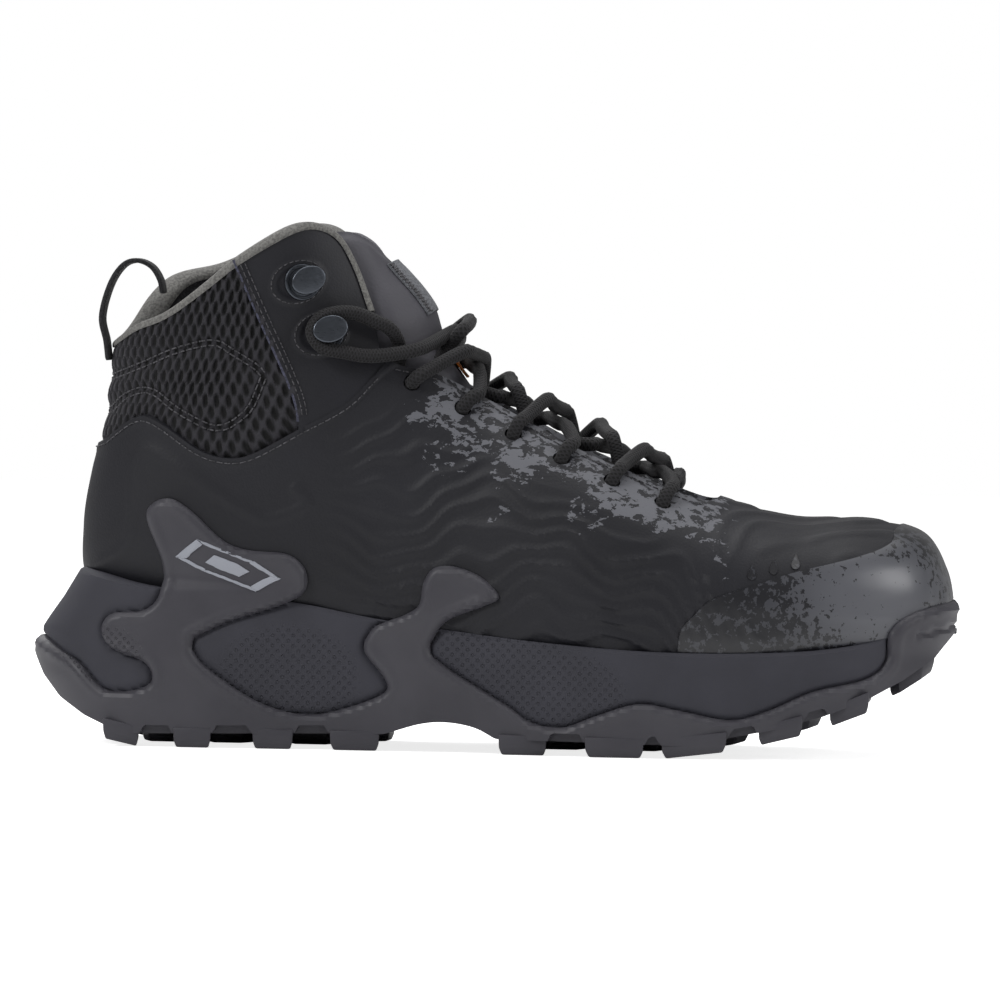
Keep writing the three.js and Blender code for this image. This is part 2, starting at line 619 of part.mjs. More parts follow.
// A point on the way over the throat, from one place on this hand to another on the far one.
function acrossThroat(from, to, hand, share, height) {
  const [start, end] = [locate(...from, hand), locate(...to, -hand)];
  return onSkin({
    station: THREE.MathUtils.lerp(start.station, end.station, share),
    angle: THREE.MathUtils.lerp(start.angle, end.angle, share),
  }, height).point;
}

// Over the tongue from one edge of the throat to the other, at a height over the middle.
function overTongue(from, to, hand, height) {
  return [[0.33, -0.4], [0.42, 0.1], [0.5, 0], [0.63, 0.6], [0.78, 2.2]]
    .map(([share, lift]) => acrossThroat(from, to, hand, share, height + lift));
}

// Around a hook: from the throat, behind the stem, and back to the throat.
function roundHook(hand) {
  const { x, z } = LOWER_HOOK;
  const places = [
    [30, -6.4], [22, -7.6], [13, -8], [5, -6.4], [-1.5, -5], [-4.9, 0], [-2.4, 4.6], [3, 6], [9, 5.4],
    [15, 3],
  ];
  return places.map(([dx, dz]) => skin(x + dx, z + dz, hand, HOOKED).point);
}

// The end of the lace: over the edge of the hook panel and down between tongue and collar.
function tuckedEnd(hand) {
  const places = [
    [-36.4, 137.4, 4], [-32.6, 133.8, 0.6], [-31, 129.4, -4], [-32.6, 122, -8.2], [-34.5, 115, -8.6],
    [-36, 109, -9.2],
  ];
  return places.map(([x, z, h]) => skin(x, z, hand, h).point);
}

function laceRoute() {
  const last = EYELETS.length - 1;
  const hookEdge = [LOWER_HOOK.x + 32, LOWER_HOOK.z - 5];
  const route = [...tuckedEnd(OUTER).reverse(), ...roundHook(OUTER).reverse()];
  route.push(...overTongue(hookEdge, EYESTAY_EDGE[0], OUTER, LOW + 2), ...throughEyelet(0, INNER));
  let hand = INNER;
  const cross = (from, to, height) => {
    route.push(...overTongue(EYESTAY_EDGE[from], EYESTAY_EDGE[to], hand, height));
    hand = -hand;
    route.push(...throughEyelet(to, hand));
  };
  for (let k = 1; k <= last; k += 1) cross(k - 1, k, LOW);
  cross(last, last, LOW + 0.6);
  for (let k = last - 1; k >= 0; k -= 1) cross(k + 1, k, HIGH);
  route.push(...overTongue(EYESTAY_EDGE[0], hookEdge, hand, HIGH + 2));
  route.push(...roundHook(INNER), ...tuckedEnd(INNER));
  return route;
}

const laceCurve = new THREE.CatmullRomCurve3(laceRoute(), false, "centripetal");

function laceTube(radius) {
  const section = new THREE.Shape(
    Array.from({ length: LACE_SIDES }, (_, i) => {
      const angle = (2 * Math.PI * i) / LACE_SIDES;
      return new THREE.Vector2(radius * Math.cos(angle), radius * Math.sin(angle));
    }),
  );
  return new THREE.ExtrudeGeometry(section, { steps: LACE_STEPS, extrudePath: laceCurve });
}

// ---------- Hardware, each in its own frame: Z away from the boot, X along the hook ----------
function hookGeometry() {
  const { length, width, plate, stem, standoff, flange } = HOOK;
  const corner = width * 0.38;
  const outline = new THREE.Shape();
  outline.absarc(length / 2 - corner, width / 2 - corner, corner, 0, Math.PI / 2);
  outline.absarc(-length / 2 + corner, width / 2 - corner, corner, Math.PI / 2, Math.PI);
  outline.absarc(-length / 2 + corner, -width / 2 + corner, corner, Math.PI, 1.5 * Math.PI);
  outline.absarc(length / 2 - corner, -width / 2 + corner, corner, 1.5 * Math.PI, 2 * Math.PI);
  const top = new THREE.ExtrudeGeometry(outline, { depth: plate, bevelEnabled: false, curveSegments: 2 });
  top.translate(0, 0, standoff);
  const seat = 2 * CLEARANCE + WASHER.thickness;
  const post = new THREE.CylinderGeometry(stem, stem, standoff + plate / 2 - seat, 8);
  post.rotateX(Math.PI / 2).translate(0, 0, (standoff + plate / 2 + seat) / 2);
  const foot = new THREE.CylinderGeometry(flange, flange, WASHER.thickness, 12);
  foot.rotateX(Math.PI / 2).translate(0, 0, seat + WASHER.thickness / 2);
  return geometryOf(solid(top).add(solid(post)).add(solid(foot)));
}

function washerGeometry() {
  const ring = new THREE.Shape().absarc(0, 0, WASHER.outer, 0, 2 * Math.PI);
  ring.holes.push(new THREE.Path().absarc(0, 0, WASHER.hole, 0, 2 * Math.PI, true));
  const settings = { depth: WASHER.thickness, bevelEnabled: false, curveSegments: 6 };
  return new THREE.ExtrudeGeometry(ring, settings).translate(0, 0, CLEARANCE);
}

// The webbing loop at the heel, from outside the collar over its edge to the inside.
const LOOP_PATH = [
  [-130.2, 126.5], [-131, 133], [-132.6, 141], [-130, 151.5], [-126, 158], [-121.5, 159.8],
  [-116.8, 158], [-113.8, 153.6], [-112.8, 149],
];
const LOOP_LEAN = [-3, 1.5]; // y of the loop's middle at its outer and its inner end

function pullLoop() {
  const middle = smooth(LOOP_PATH, 3);
  const half = PULL_LOOP.thickness / 2;
  const outlineAt = (y) => {
    const left = shifted(middle, half);
    const right = shifted(middle, -half).reverse();
    return [...left, ...right].map((p) => new THREE.Vector3(p.x, y, p.y));
  };
  const lean = (v) => {
    const share = THREE.MathUtils.clamp((v.x / GRADE.x + 131) / 15, 0, 1);
    return new THREE.Vector3(v.x, v.y + THREE.MathUtils.lerp(...LOOP_LEAN, share), v.z);
  };
  const reach = PULL_LOOP.width / 2;
  return loft([outlineAt(-reach).map(lean), outlineAt(reach).map(lean)]);
}

// ---------- Assembly ----------
const boot = new THREE.Group();

const FINISH = {
  rubber: { color: 0x3f3e42, roughness: 0.75, metalness: 0 },
  foam: { color: 0x37373b, roughness: 0.9, metalness: 0 },
  moulded: { color: 0x2b2b30, roughness: 0.6, metalness: 0 },
  mesh: { color: 0x2a292c, roughness: 0.95, metalness: 0 },
  lining: { color: 0x4a4a4e, roughness: 0.95, metalness: 0 },
  binding: { color: 0x8b8a88, roughness: 0.9, metalness: 0 },
  film: { color: 0x55565c, roughness: 0.3, metalness: 0 },
  board: { color: 0xc9c2ae, roughness: 0.9, metalness: 0 },
  steel: { color: 0x9a9ca0, roughness: 0.35, metalness: 1 },
  nylon: { color: 0x1d1d20, roughness: 0.5, metalness: 0 },
  gunmetal: { color: 0x4a4d52, roughness: 0.35, metalness: 1 },
  braid: { color: 0x2c2a29, roughness: 0.9, metalness: 0 },
  clear: { color: 0x1a1a1c, roughness: 0.3, metalness: 0 },
  accent: { color: 0xc06a1c, roughness: 0.8, metalness: 0 },
};

function add(name, geometry, finish) {
  const mesh = new THREE.Mesh(geometry, new THREE.MeshStandardMaterial(FINISH[finish]));
  mesh.name = name;
  boot.add(mesh);
  return mesh;
}

const addSolid = (name, body, finish) => add(name, geometryOf(mainBody(body)), finish);

// Sole unit
addSolid("outsole", outsole(), "rubber");
addSolid("midsole", midsole(), "foam");
addSolid("arch_shank", archShank(), "nylon");
addSolid("insole_board", form(0).intersect(below(boardTop)), "board");

// Toe protection and heel counter
const stiffener = layer(STIFFENER_DEPTH, STIFFENER_WALL)
  .intersect(belowWave)
  .intersect(overLastingEdge)
  .subtract(openingCut({ rim: 0, throat: EYESTAY_WIDTH + 1 }));
const capStripRear = shifted(CAP_REAR, -EDGE_STRIP);
addSolid("steel_toe_cap", stiffener.intersect(ahead(CAP_REAR)), "steel");
addSolid(
  "toe_cap_edge_strip",
  stiffener.intersect(ahead(capStripRear)).intersect(behind(shifted(CAP_REAR, -CLEARANCE))),
  "nylon",
);
addSolid("heel_counter", stiffener.intersect(behind(COUNTER_FRONT)), "nylon");
addSolid(
  "interlining",
  stiffener.intersect(ahead(shifted(COUNTER_FRONT, CLEARANCE)))
    .intersect(behind(shifted(capStripRear, -CLEARANCE))),
  "foam",
);

// Upper
const shellLayer = layer(0, SHELL_WALL).subtract(panelCut).subtract(eyeletDrills);
addSolid("upper_shell", shellLayer.intersect(belowWave).intersect(overBoard), "moulded");
const throatEdge = smooth(THROAT);
const eyestayStrip = region([...throatEdge, ...shifted(throatEdge, -EYESTAY_WIDTH).reverse()]);
const collarSkin = shellLayer.intersect(aboveWave);
addSolid("collar_mesh", collarSkin.intersect(behind(shifted(HOOK_SEAM, -CLEARANCE / 2))), "mesh");
for (const [hand, word] of [[OUTER, "lateral"], [INNER, "medial"]]) {
  const panel = collarSkin.intersect(ahead(shifted(HOOK_SEAM, CLEARANCE / 2))).intersect(half(hand));
  addSolid(`hook_panel_${word}`, panel, "moulded");
  const stay = layer(STIFFENER_DEPTH, EYESTAY_WALL)
    .intersect(eyestayStrip)
    .subtract(throatPlan(0))
    .intersect(belowWave)
    .intersect(half(hand, 4))
    .intersect(behind(sides([[66, 140], [66, 60]])))
    .intersect(ahead(sides([[-36, 140], [-36, 100]])));
  addSolid(`eyestay_${word}`, stay.subtract(eyeletDrills), "nylon");
}

// Collar
const collarCut = openingCut({ rim: BINDING_HEIGHT + CLEARANCE, throat: 1.5 });
addSolid("collar_foam", layer(STIFFENER_DEPTH, COLLAR_PAD).intersect(aboveWave).subtract(collarCut), "foam");
addSolid(
  "collar_lining",
  layer(COLLAR_LINING_DEPTH, LINING_WALL).intersect(aboveWave).subtract(collarCut),
  "lining",
);
addSolid(
  "collar_binding",
  band(-BINDING_PROUD, COLLAR_LINING_DEPTH + LINING_WALL)
    .intersect(openingCut({ rim: BINDING_HEIGHT, throat: -2 }))
    .subtract(openingCut({ rim: 0, throat: 0 })),
  "binding",
);

// Inside
addSolid(
  "foot_lining",
  layer(LINING_DEPTH, LINING_WALL).intersect(belowWave)
    .subtract(openingCut({ rim: 0, throat: EYESTAY_WIDTH + 2 })),
  "lining",
);
const footbedTop = raised(BOARD_LINE, FOOTBED_DEPTH + FOOTBED_THICKNESS);
addSolid("footbed", form(FOOTBED_DEPTH + 0.6).intersect(below(footbedTop)), "foam");

// Tongue: a fixed lower pad under the lacing and a free top that folds forward
const TONGUE_SPLIT = sides([[-60, 131], [0, 142.5]]);
const tongueTopRoom = openingCut({ rim: -1.2, throat: -1.2 }).intersect(region([
  ...smooth([[-58, 168.5], [-54, 171.2], [-47, 171.4], [-41, 168.9], [-37, 165.5], [-30, 160]]),
  ...sides([[40, 140], [-30, 118], [-70, 130]]),
]));
const lowerTongueRoom = throatPlan(-TONGUE_SIDE).intersect(region(sides([
  [-60, 131], [0, 142.5], [62, 142], [50, 66], [40, 76], [0, 92], [-45, 112],
])));
const belowSplit = below(raised(TONGUE_SPLIT, -0.8));
const upperTongue = layer(TONGUE_DEPTH, TONGUE_PAD).intersect(tongueTopRoom);
const lowerTongue = layer(TONGUE_FIXED_DEPTH, TONGUE_PAD).intersect(lowerTongueRoom);
addSolid("tongue_top", upperTongue.intersect(above(TONGUE_SPLIT)), "moulded");
addSolid("tongue_lower", lowerTongue.intersect(belowSplit), "mesh");
const gussetRoom = region(sides([
  [-62, 147], [-20, 149], [10, 130], [60, 96], [66, 76], [40, 80], [0, 97], [-26, 112], [-44, 122],
]));
addSolid("tongue_gusset", layer(GUSSET_DEPTH, GUSSET_WALL).intersect(gussetRoom), "lining");
const across = (reach) => crossRegion([-reach, reach].map((y) => [y, [
  new THREE.Vector2(-FAR, -FAR), new THREE.Vector2(FAR, -FAR),
  new THREE.Vector2(FAR, FAR), new THREE.Vector2(-FAR, FAR),
]]));
addSolid(
  "tongue_label",
  band(TONGUE_DEPTH - CLEARANCE - 0.7, TONGUE_DEPTH - CLEARANCE)
    .intersect(across(13))
    .intersect(region(sides([[-40, 160.5], [-10, 160.5], [-10, 144.5], [-40, 142.5]]))),
  "binding",
);
addSolid(
  "tongue_lace_tab",
  band(TONGUE_FIXED_DEPTH - CLEARANCE - 0.8, TONGUE_FIXED_DEPTH - CLEARANCE)
    .intersect(across(6))
    .intersect(region(sides([[-20, 130.5], [0, 136], [8, 126], [-14, 121.5]]))),
  "accent",
);

// Toe film
const FILM_EDGE = smooth([
  [160, 80], [134.2, 76], [130.5, 70.4], [120, 66], [98.9, 60.7], [85.1, 56.2], [73.5, 52.2],
  [67.2, 46.8], [63.1, 41.4], [62, 30],
]);
addSolid(
  "toe_film",
  band(-CLEARANCE - FILM_WALL, -CLEARANCE)
    .intersect(ahead(FILM_EDGE))
    .intersect(above(shifted(FEATHER_LINE, CLEARANCE + 0.3)))
    .subtract(region(raised(CAGE, 0.5))),
  "film",
);

// Hardware
const hookShape = hookGeometry();
const washerShape = washerGeometry();
for (const [hand, word] of [[OUTER, "lateral"], [INNER, "medial"]]) {
  for (const [place, level] of [[UPPER_HOOK, "upper"], [LOWER_HOOK, "lower"]]) {
    const { point, normal } = skin(place.x, place.z, hand);
    const tilt = THREE.MathUtils.degToRad(place.tilt);
    const along = new THREE.Vector3(Math.cos(tilt), 0, Math.sin(tilt)).projectOnPlane(normal).normalize();
    const facing = new THREE.Matrix4().makeBasis(along, normal.clone().cross(along), normal);
    for (const [kind, shape] of [["hook", hookShape], ["hook_washer", washerShape]]) {
      const mesh = add(`${kind}_${level}_${word}`, shape, "gunmetal");
      mesh.position.copy(point);
      mesh.quaternion.setFromRotationMatrix(facing);
    }
  }
}

// Lace, its two tips, and the heel loop
add("lace", laceTube(RADIUS), "braid");
for (const [end, word] of [[0, "lateral"], [1, "medial"]]) {
  const tip = laceCurve.getPointAt(end);
  const out = laceCurve.getTangentAt(end).multiplyScalar(end ? 1 : -1);
  const shape = new THREE.CylinderGeometry(AGLET_RADIUS, AGLET_RADIUS, AGLET_LENGTH, 8);
  const aglet = add(`aglet_${word}`, shape, "clear");
  aglet.position.copy(tip).addScaledVector(out, AGLET_LENGTH / 2 + CLEARANCE);
  aglet.quaternion.setFromUnitVectors(new THREE.Vector3(0, 1, 0), out);
}
addSolid("pull_loop", pullLoop(), "braid");

export default boot;
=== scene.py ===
"""The looks of a mid-height safety work boot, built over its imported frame.

Every skin of the upper is a sheet over one last-shaped form. A sheet is a grid in two numbers, u from
the toe to the collar and t round the section, which is trimmed to its outline and then given its wall.
Lengths in the functions are millimetres; a mesh gets metres when its points are placed.
"""
import math

import bmesh
import bpy
import numpy as np
from mathutils import Matrix, Vector
from mathutils.bvhtree import BVHTree


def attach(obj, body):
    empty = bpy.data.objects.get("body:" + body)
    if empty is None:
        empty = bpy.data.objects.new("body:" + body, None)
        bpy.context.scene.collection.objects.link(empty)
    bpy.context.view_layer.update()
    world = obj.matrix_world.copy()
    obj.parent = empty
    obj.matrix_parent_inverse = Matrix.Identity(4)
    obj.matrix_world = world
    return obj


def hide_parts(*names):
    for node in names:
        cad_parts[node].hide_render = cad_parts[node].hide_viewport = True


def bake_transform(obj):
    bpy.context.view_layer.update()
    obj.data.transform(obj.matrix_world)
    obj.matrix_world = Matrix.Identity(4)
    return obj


bl_info = {
    "name": "Safety work boot",
    "version": (1, 0, 0),
    "blender": (4, 5, 0),
    "location": "3D View > Sidebar > Boot",
    "description": "Builds a lace-up safety work boot over its frame",
    "category": "Add Mesh",
}

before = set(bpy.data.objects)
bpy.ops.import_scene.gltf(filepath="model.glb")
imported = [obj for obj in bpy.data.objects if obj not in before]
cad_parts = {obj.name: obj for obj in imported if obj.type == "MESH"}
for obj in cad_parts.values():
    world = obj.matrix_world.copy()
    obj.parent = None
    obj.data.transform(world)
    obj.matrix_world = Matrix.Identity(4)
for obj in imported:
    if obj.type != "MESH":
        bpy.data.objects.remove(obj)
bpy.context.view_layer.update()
MM = 0.001
OUTER, INNER = -1, 1  # the side of the boot, as the sign of Y


# ---------- Lines ----------
def smooth(points, per_span=8, closed=False):
    """A Catmull-Rom run through the points, whatever number of columns they have."""
    p = np.asarray(points, float)
    if closed:
        p = np.vstack([p[-1], p, p[0], p[1]])
    else:
        p = np.vstack([2 * p[0] - p[1], p, 2 * p[-1] - p[-2]])
    runs = []
    for k in range(1, len(p) - 2):
        for step in range(per_span):
            runs.append(catmull(p[k - 1], p[k], p[k + 1], p[k + 2], step / per_span))
    if not closed:
        runs.append(p[-2])
    return np.array(runs)


def catmull(a, b, c, d, f):
    return b + 0.5 * f * (c - a + f * (2 * a - 5 * b + 4 * c - d + f * (3 * (b - c) + d - a)))


def even(points, step=None, count=None):
    """The same run with even steps along it."""
    p = np.asarray(points, float)
    along = np.concatenate([[0], np.cumsum(np.linalg.norm(np.diff(p, axis=0), axis=1))])
    count = count or max(int(round(along[-1] / step)), 2)
    at = np.linspace(0, along[-1], count + 1)
    return np.stack([np.interp(at, along, p[:, k]) for k in range(p.shape[1])], axis=1)


def segments(xz, line):
    """The least distance from each point to a run of straight lines."""
    a, b = line[:-1], line[1:]
    d = b - a
    size = np.maximum((d**2).sum(1), 1e-9)
    best = np.full(len(xz), 1e9)
    for k in range(len(a)):
        rel = xz - a[k]
        f = np.clip((rel @ d[k]) / size[k], 0, 1)
        best = np.minimum(best, np.hypot(*(rel - f[:, None] * d[k]).T))
    return best


def inside(xz, outline):
    """Signed distance to a closed outline, positive inside it."""
    ring = np.vstack([outline, outline[:1]])
    crossings = np.zeros(len(xz), bool)
    for (ax, az), (bx, bz) in zip(ring[:-1], ring[1:]):
        spans = (az > xz[:, 1]) != (bz > xz[:, 1])
        if az != bz:
            crossings ^= spans & (xz[:, 0] < (bx - ax) * (xz[:, 1] - az) / (bz - az) + ax)
    return np.where(crossings, 1, -1) * segments(xz, ring)


def step(value, low, high):
    f = np.clip((np.asarray(value, float) - low) / (high - low), 0, 1)
    return f * f * (3 - 2 * f)


# ---------- The last-shaped form ----------
# Each row: the bottom and the top in side view, the two half-widths, the middle's shift sideways,
# the share of the height where it is widest, and how square it is below and above that.
STATIONS = np.array([
    [150.5, 42, 151, 50, 9, 9, 9, 0.5, 2.2, 2.2],
    [147.5, 38, 148.5, 61, 20.5, 15.5, 7.5, 0.42, 2.6, 2.2],
    [139, 35, 140.5, 73.5, 31.5, 26, 5, 0.38, 3.4, 2.3],
    [124, 32.5, 121, 78, 40, 37, 2.5, 0.36, 4, 2.4],
    [104, 29.5, 100, 78, 45.5, 44, 1, 0.36, 4.5, 2.4],
    [84, 27.5, 80, 82.5, 49.5, 47, 0, 0.35, 5, 2.4],
    [60, 26.5, 58, 90, 51.5, 48, 0, 0.34, 5, 2.5],
    [36, 27, 35, 100.5, 51, 45.5, 0, 0.34, 5, 2.6],
    [8, 29, 15, 110.5, 46.5, 41, 0, 0.36, 5, 2.6],
    [-22, 32, 1, 117, 41, 38.5, 0, 0.38, 5, 2.6],
    [-55, 37, -9, 126, 38, 37.5, 0, 0.4, 4.5, 2.6],
    [-90, 40.5, -15, 135, 37, 37, 0, 0.42, 4, 2.5],
    [-120, 43, -19, 141, 36.5, 36.5, 0, 0.44, 3.2, 2.4],
    [-136, 53, -22, 147, 36.5, 36.5, 0, 0.45, 2.4, 2.3],
    [-138, 72, -26, 152.5, 36.5, 36.5, 0, 0.46, 2.1, 2.2],
    [-135.5, 90, -31, 158, 36, 36, 0, 0.46, 2, 2.1],
    [-131.5, 106, -35, 162, 35.5, 35.5, 0, 0.47, 2, 2.1],
    [-130, 122, -38, 167, 35, 35, 0, 0.48, 2, 2.1],
    [-128, 137, -41, 172, 35, 35, 0, 0.5, 2, 2.1],
    [-124, 158, -46, 180, 35.5, 35.5, 0, 0.5, 2, 2.1],
    [-120, 185, -55, 190, 36, 36, 0, 0.5, 2, 2.1],
])
LAST = len(STATIONS) - 1


def station(u):
    u = np.clip(np.asarray(u, float), 0, LAST - 1e-6)
    k = np.floor(u).astype(int)
    at = [STATIONS[np.clip(k + n, 0, LAST)] for n in (-1, 0, 1, 2)]
    got = catmull(*at, (u - k)[..., None])
    got[..., 8:] = np.maximum(got[..., 8:], 2)
    return got


def form(u, t, depth=0.0):
    """The form's point at u and the angle t, moved inwards by a depth.

    The angle is 0 on the outer side and 90 degrees at the top.
    """
    bx, bz, tx, tz, out, inn, mid, widest, lower, upper = np.moveaxis(station(u), -1, 0)
    height = np.hypot(tx - bx, tz - bz)
    c, s = np.cos(t), np.sin(t)
    n = np.where(s > 0, upper, lower)
    norm = (np.abs(c) ** n + np.abs(s) ** n) ** (1 / n)
    reach = np.where(s > 0, 1 - widest, widest)
    lift = depth + (height - 2 * depth) * (widest + reach * s / norm)
    half = np.where(c > 0, out, inn) - depth
    nose = np.clip((bx - 112) / 34, 0, 1)
    return np.stack([
        bx + (tx - bx) / height * lift - depth * nose,
        mid - half * c / norm,
        bz + (tz - bz) / height * lift,
    ], axis=-1)


def normal(u, t):
    around = form(u, t + 0.01) - form(u, t - 0.01)
    forward = form(np.asarray(u) + 0.03, t) - form(np.asarray(u) - 0.03, t)
    n = np.cross(around, forward)
    return n / np.maximum(np.linalg.norm(n, axis=-1, keepdims=True), 1e-9)


def locate(x, z, hand):
    """Where a place in side view lies on the form: u and t."""
    x, z = np.asarray(x, float), np.asarray(z, float)
    low, high = np.zeros_like(x), np.full_like(x, LAST)
    for _ in range(36):
        middle = (low + high) / 2
        s = station(middle)
        turn = (s[..., 2] - s[..., 0]) * (z - s[..., 1]) - (s[..., 3] - s[..., 1]) * (x - s[..., 0])
        low, high = np.where(turn > 0, middle, low), np.where(turn > 0, high, middle)
    s = station(low)
    line = s[..., 2:4] - s[..., 0:2]
    share = ((np.stack([x, z], -1) - s[..., 0:2]) * line).sum(-1) / (line**2).sum(-1)
    share = np.clip(share, 0, 1)
    rising = share > s[..., 7]
    v = np.where(rising, (share - s[..., 7]) / (1 - s[..., 7]), (share - s[..., 7]) / s[..., 7])
    n = np.where(rising, s[..., 9], s[..., 8])
    c = np.maximum(1 - np.abs(v) ** n, 0) ** (1 / n)
    t = np.arctan2(v, c)
    return low, (t if hand == OUTER else math.pi - t)


def skin(x, z, hand, height=0.0):
    u, t = locate(x, z, hand)
    return form(u, t) + normal(u, t) * np.asarray(height, float)[..., None]


def on_skin(points, hand):
    """A side-view run lifted onto one side of the form: its points and the form's normals."""
    u, t = locate(points[:, 0], points[:, 1], hand)
    return form(u, t), normal(u, t)


# ---------- Outlines in side view ----------
RIM_OUTER = smooth([
    [-146, 121], [-133, 129], [-126, 135], [-119, 139.6], [-110, 143], [-97.5, 152.1], [-87.4, 160.3],
    [-75, 168.2], [-66.5, 172.8], [-61, 174], [-55, 172.2], [-50.5, 168.1], [-45, 157.5], [-39.4, 143.3],
])
RIM_INNER = smooth([
    [-146, 121], [-133, 130], [-126, 138], [-120, 148], [-112, 156], [-98, 159], [-87.4, 163.5],
    [-75, 169.2], [-66.5, 172.8], [-61, 174], [-55, 172.2], [-50.5, 168.1], [-45, 157.5], [-39.4, 143.3],
])
THROAT = smooth([
    [-39.4, 143.3], [-37.6, 133], [-35, 127.5], [-28, 125.6], [-18, 123], [-7, 117.6], [12, 107.8],
    [28, 99.6], [47.5, 91.4], [62, 85.6], [71, 83.4], [75, 86], [77, 96],
])
FAR = [[400, 120], [400, 400], [-400, 400], [-400, 110]]
OPENINGS = [np.vstack([rim, THROAT, FAR]) for rim in (RIM_OUTER, RIM_INNER)]
RIM_SHIFT = (-14, 18)  # the collar climbs from its outer to its inner edge across these y
WAVE = smooth([
    [-150, 97], [-132.6, 99.4], [-126.5, 103.1], [-121, 107], [-115.5, 108.4], [-108.7, 105.5],
    [-97, 97.8], [-88, 95.2], [-79.4, 96.6], [-64.3, 104.9], [-49, 113.6], [-40, 123], [-33, 129], [-10, 137],
])
HOOK_SEAM = smooth([
    [-94, 178], [-85.5, 158], [-77.1, 139.6], [-71.5, 128], [-66, 115.4], [-64.2, 106], [-63.5, 90],
])
FEATHER = smooth([
    [-158, 60], [-146, 58], [-109, 52.3], [-67, 48.5], [-35, 43], [10, 37.6], [57, 34.6], [99, 35.2],
    [122, 37.8], [132, 41], [140, 47.5], [154, 51.5], [165, 52],
])
GROUND = np.array([
    [-154, 27], [-149, 18], [-143, 11], [-134, 5.5], [-124, 1.4], [-116, 0], [64, 0], [78, 2.4],
    [94, 5.6], [110, 10], [124, 15.5], [136, 22], [146, 29], [154, 39],
])
ARCH = smooth([[-34, 5.6], [-22, 9.2], [-13, 9.9], [-4, 8.4], [3, 5]])
LUG_HEIGHT = 4.2
PLATE_UNDER = np.vstack([
    GROUND[GROUND[:, 0] < -45] + [0, LUG_HEIGHT], ARCH, GROUND[GROUND[:, 0] > 20] + [0, LUG_HEIGHT],
])
HEEL_POD = [
    [-158, 36], [-151.5, 34.7], [-144, 30.7], [-137, 27], [-130.5, 20.5], [-125.7, 17.9],
    [-117, 18.4], [-111.2, 21.5], [-113.5, 27.5], [-125, 32], [-128.8, 38], [-125.5, 43.3],
    [-115, 44.5], [-110, 48.3], [-108, 55],
]
HEEL_FIN = [
    [-108, 56], [-109.2, 62.3], [-114.3, 75], [-112, 80], [-106, 81.5], [-99, 77.5], [-88.4, 68.2],
    [-79.9, 65.1], [-67, 64], [-61, 59], [-61, 52], [-68, 47.5], [-86, 41.5], [-97.5, 36],
]
MID_POD = [
    [-98, 32.5], [-93.1, 26.5], [-76, 15.5], [-60.8, 11.4], [-48, 13.5], [-34.5, 19], [-34.5, 24],
    [-41.3, 33], [-38.5, 40], [-33, 43],
]
MID_FIN = [
    [-29, 44.3], [-23.5, 48], [-22, 55.6], [-18.5, 60.5], [-11.7, 61], [-3, 57.6], [2.8, 51.5],
    [-2, 48.4], [-14.3, 43.1], [-19.8, 35.3],
]
FORE_POD = [
    [-19, 31.5], [-10.4, 25.5], [6.4, 15.8], [14, 10.8], [24.5, 9.3], [36, 13.5], [50, 17.6],
    [64, 15.5], [80, 12.8], [92, 15.8], [107, 22.3], [124, 26.3], [131.2, 32], [132.8, 42],
    [139, 47.6], [151, 51], [160, 51.5],
]
CAGE = np.vstack([
    smooth(HEEL_POD), smooth(HEEL_FIN), smooth(MID_POD), smooth(MID_FIN), smooth(FORE_POD),
    [[400, 40], [400, -400], [-400, -400], [-400, 36]],
])
FILM_EDGE = smooth([
    [160, 80], [134.2, 76], [130.5, 70.4], [120, 66], [98.9, 60.7], [85.1, 56.2], [73.5, 52.2],
    [67.2, 46.8], [63.1, 41.4], [62, 30],
])
HEEL_BAND = smooth([
    [-133.2, 58], [-120.7, 66.6], [-119.6, 86.9], [-118.5, 93.6], [-115.3, 97.2], [-111.1, 95.8],
    [-100.8, 90], [-90.3, 83.5], [-80.2, 77.4], [-72.5, 75.5], [-60.9, 80.4], [-65, 85.4],
])
QUILT_TOP = smooth([
    [-150, 116], [-138, 118.5], [-129.4, 121.1], [-116.9, 125.7], [-106.6, 130], [-96.7, 132.7],
    [-91.3, 132.9], [-86.3, 130], [-78.5, 125.4], [-75.8, 122.5],
])
QUILT_LOW = smooth([
    [-150, 108.5], [-138, 108.5], [-129.9, 110.1], [-124.3, 114.5], [-118, 117], [-112.5, 116.1],
    [-106.2, 111.5], [-98.5, 107.4], [-93.4, 105.3], [-88.4, 105.4], [-83.2, 108.7],
    [-79.5, 113], [-75.8, 122.5],
])
EYELETS = np.array([[-27.4, 121], [-10.6, 113], [6.3, 104.8], [22.5, 97], [39.3, 90], [56, 83]])
EYESTAY_EDGE = np.array([[-22, 124.4], [-6, 117], [10.5, 108.6], [26, 100.6], [42.5, 93.4], [58.5, 87.2]])
EYELET_RADIUS = 2.9
WORDS = {OUTER: "lateral", INNER: "medial"}
BEHIND_HOOK_SEAM = np.vstack([HOOK_SEAM, [[-400, 90], [-400, 178]]])
INSIDE_HEEL_BAND = np.vstack([HEEL_BAND, [[-60, 40], [-133, 40]]])
HOOKS = {"lower": (-56, 136.6, 18), "upper": (-64, 153.4, 24)}  # x, z and lean in degrees


def opening(points):
    """Signed distance to the mouth and the throat in side view, positive inside them."""
    share = np.clip((points[:, 1] - RIM_SHIFT[0]) / (RIM_SHIFT[1] - RIM_SHIFT[0]), 0, 1)
    out, inn = (inside(points[:, [0, 2]], o) for o in OPENINGS)
    return out * (1 - share) + inn * share


def over(points, line):
    """How far each point is above a line that runs from heel to toe."""
    return points[:, 2] - np.interp(points[:, 0], line[:, 0], line[:, 1])


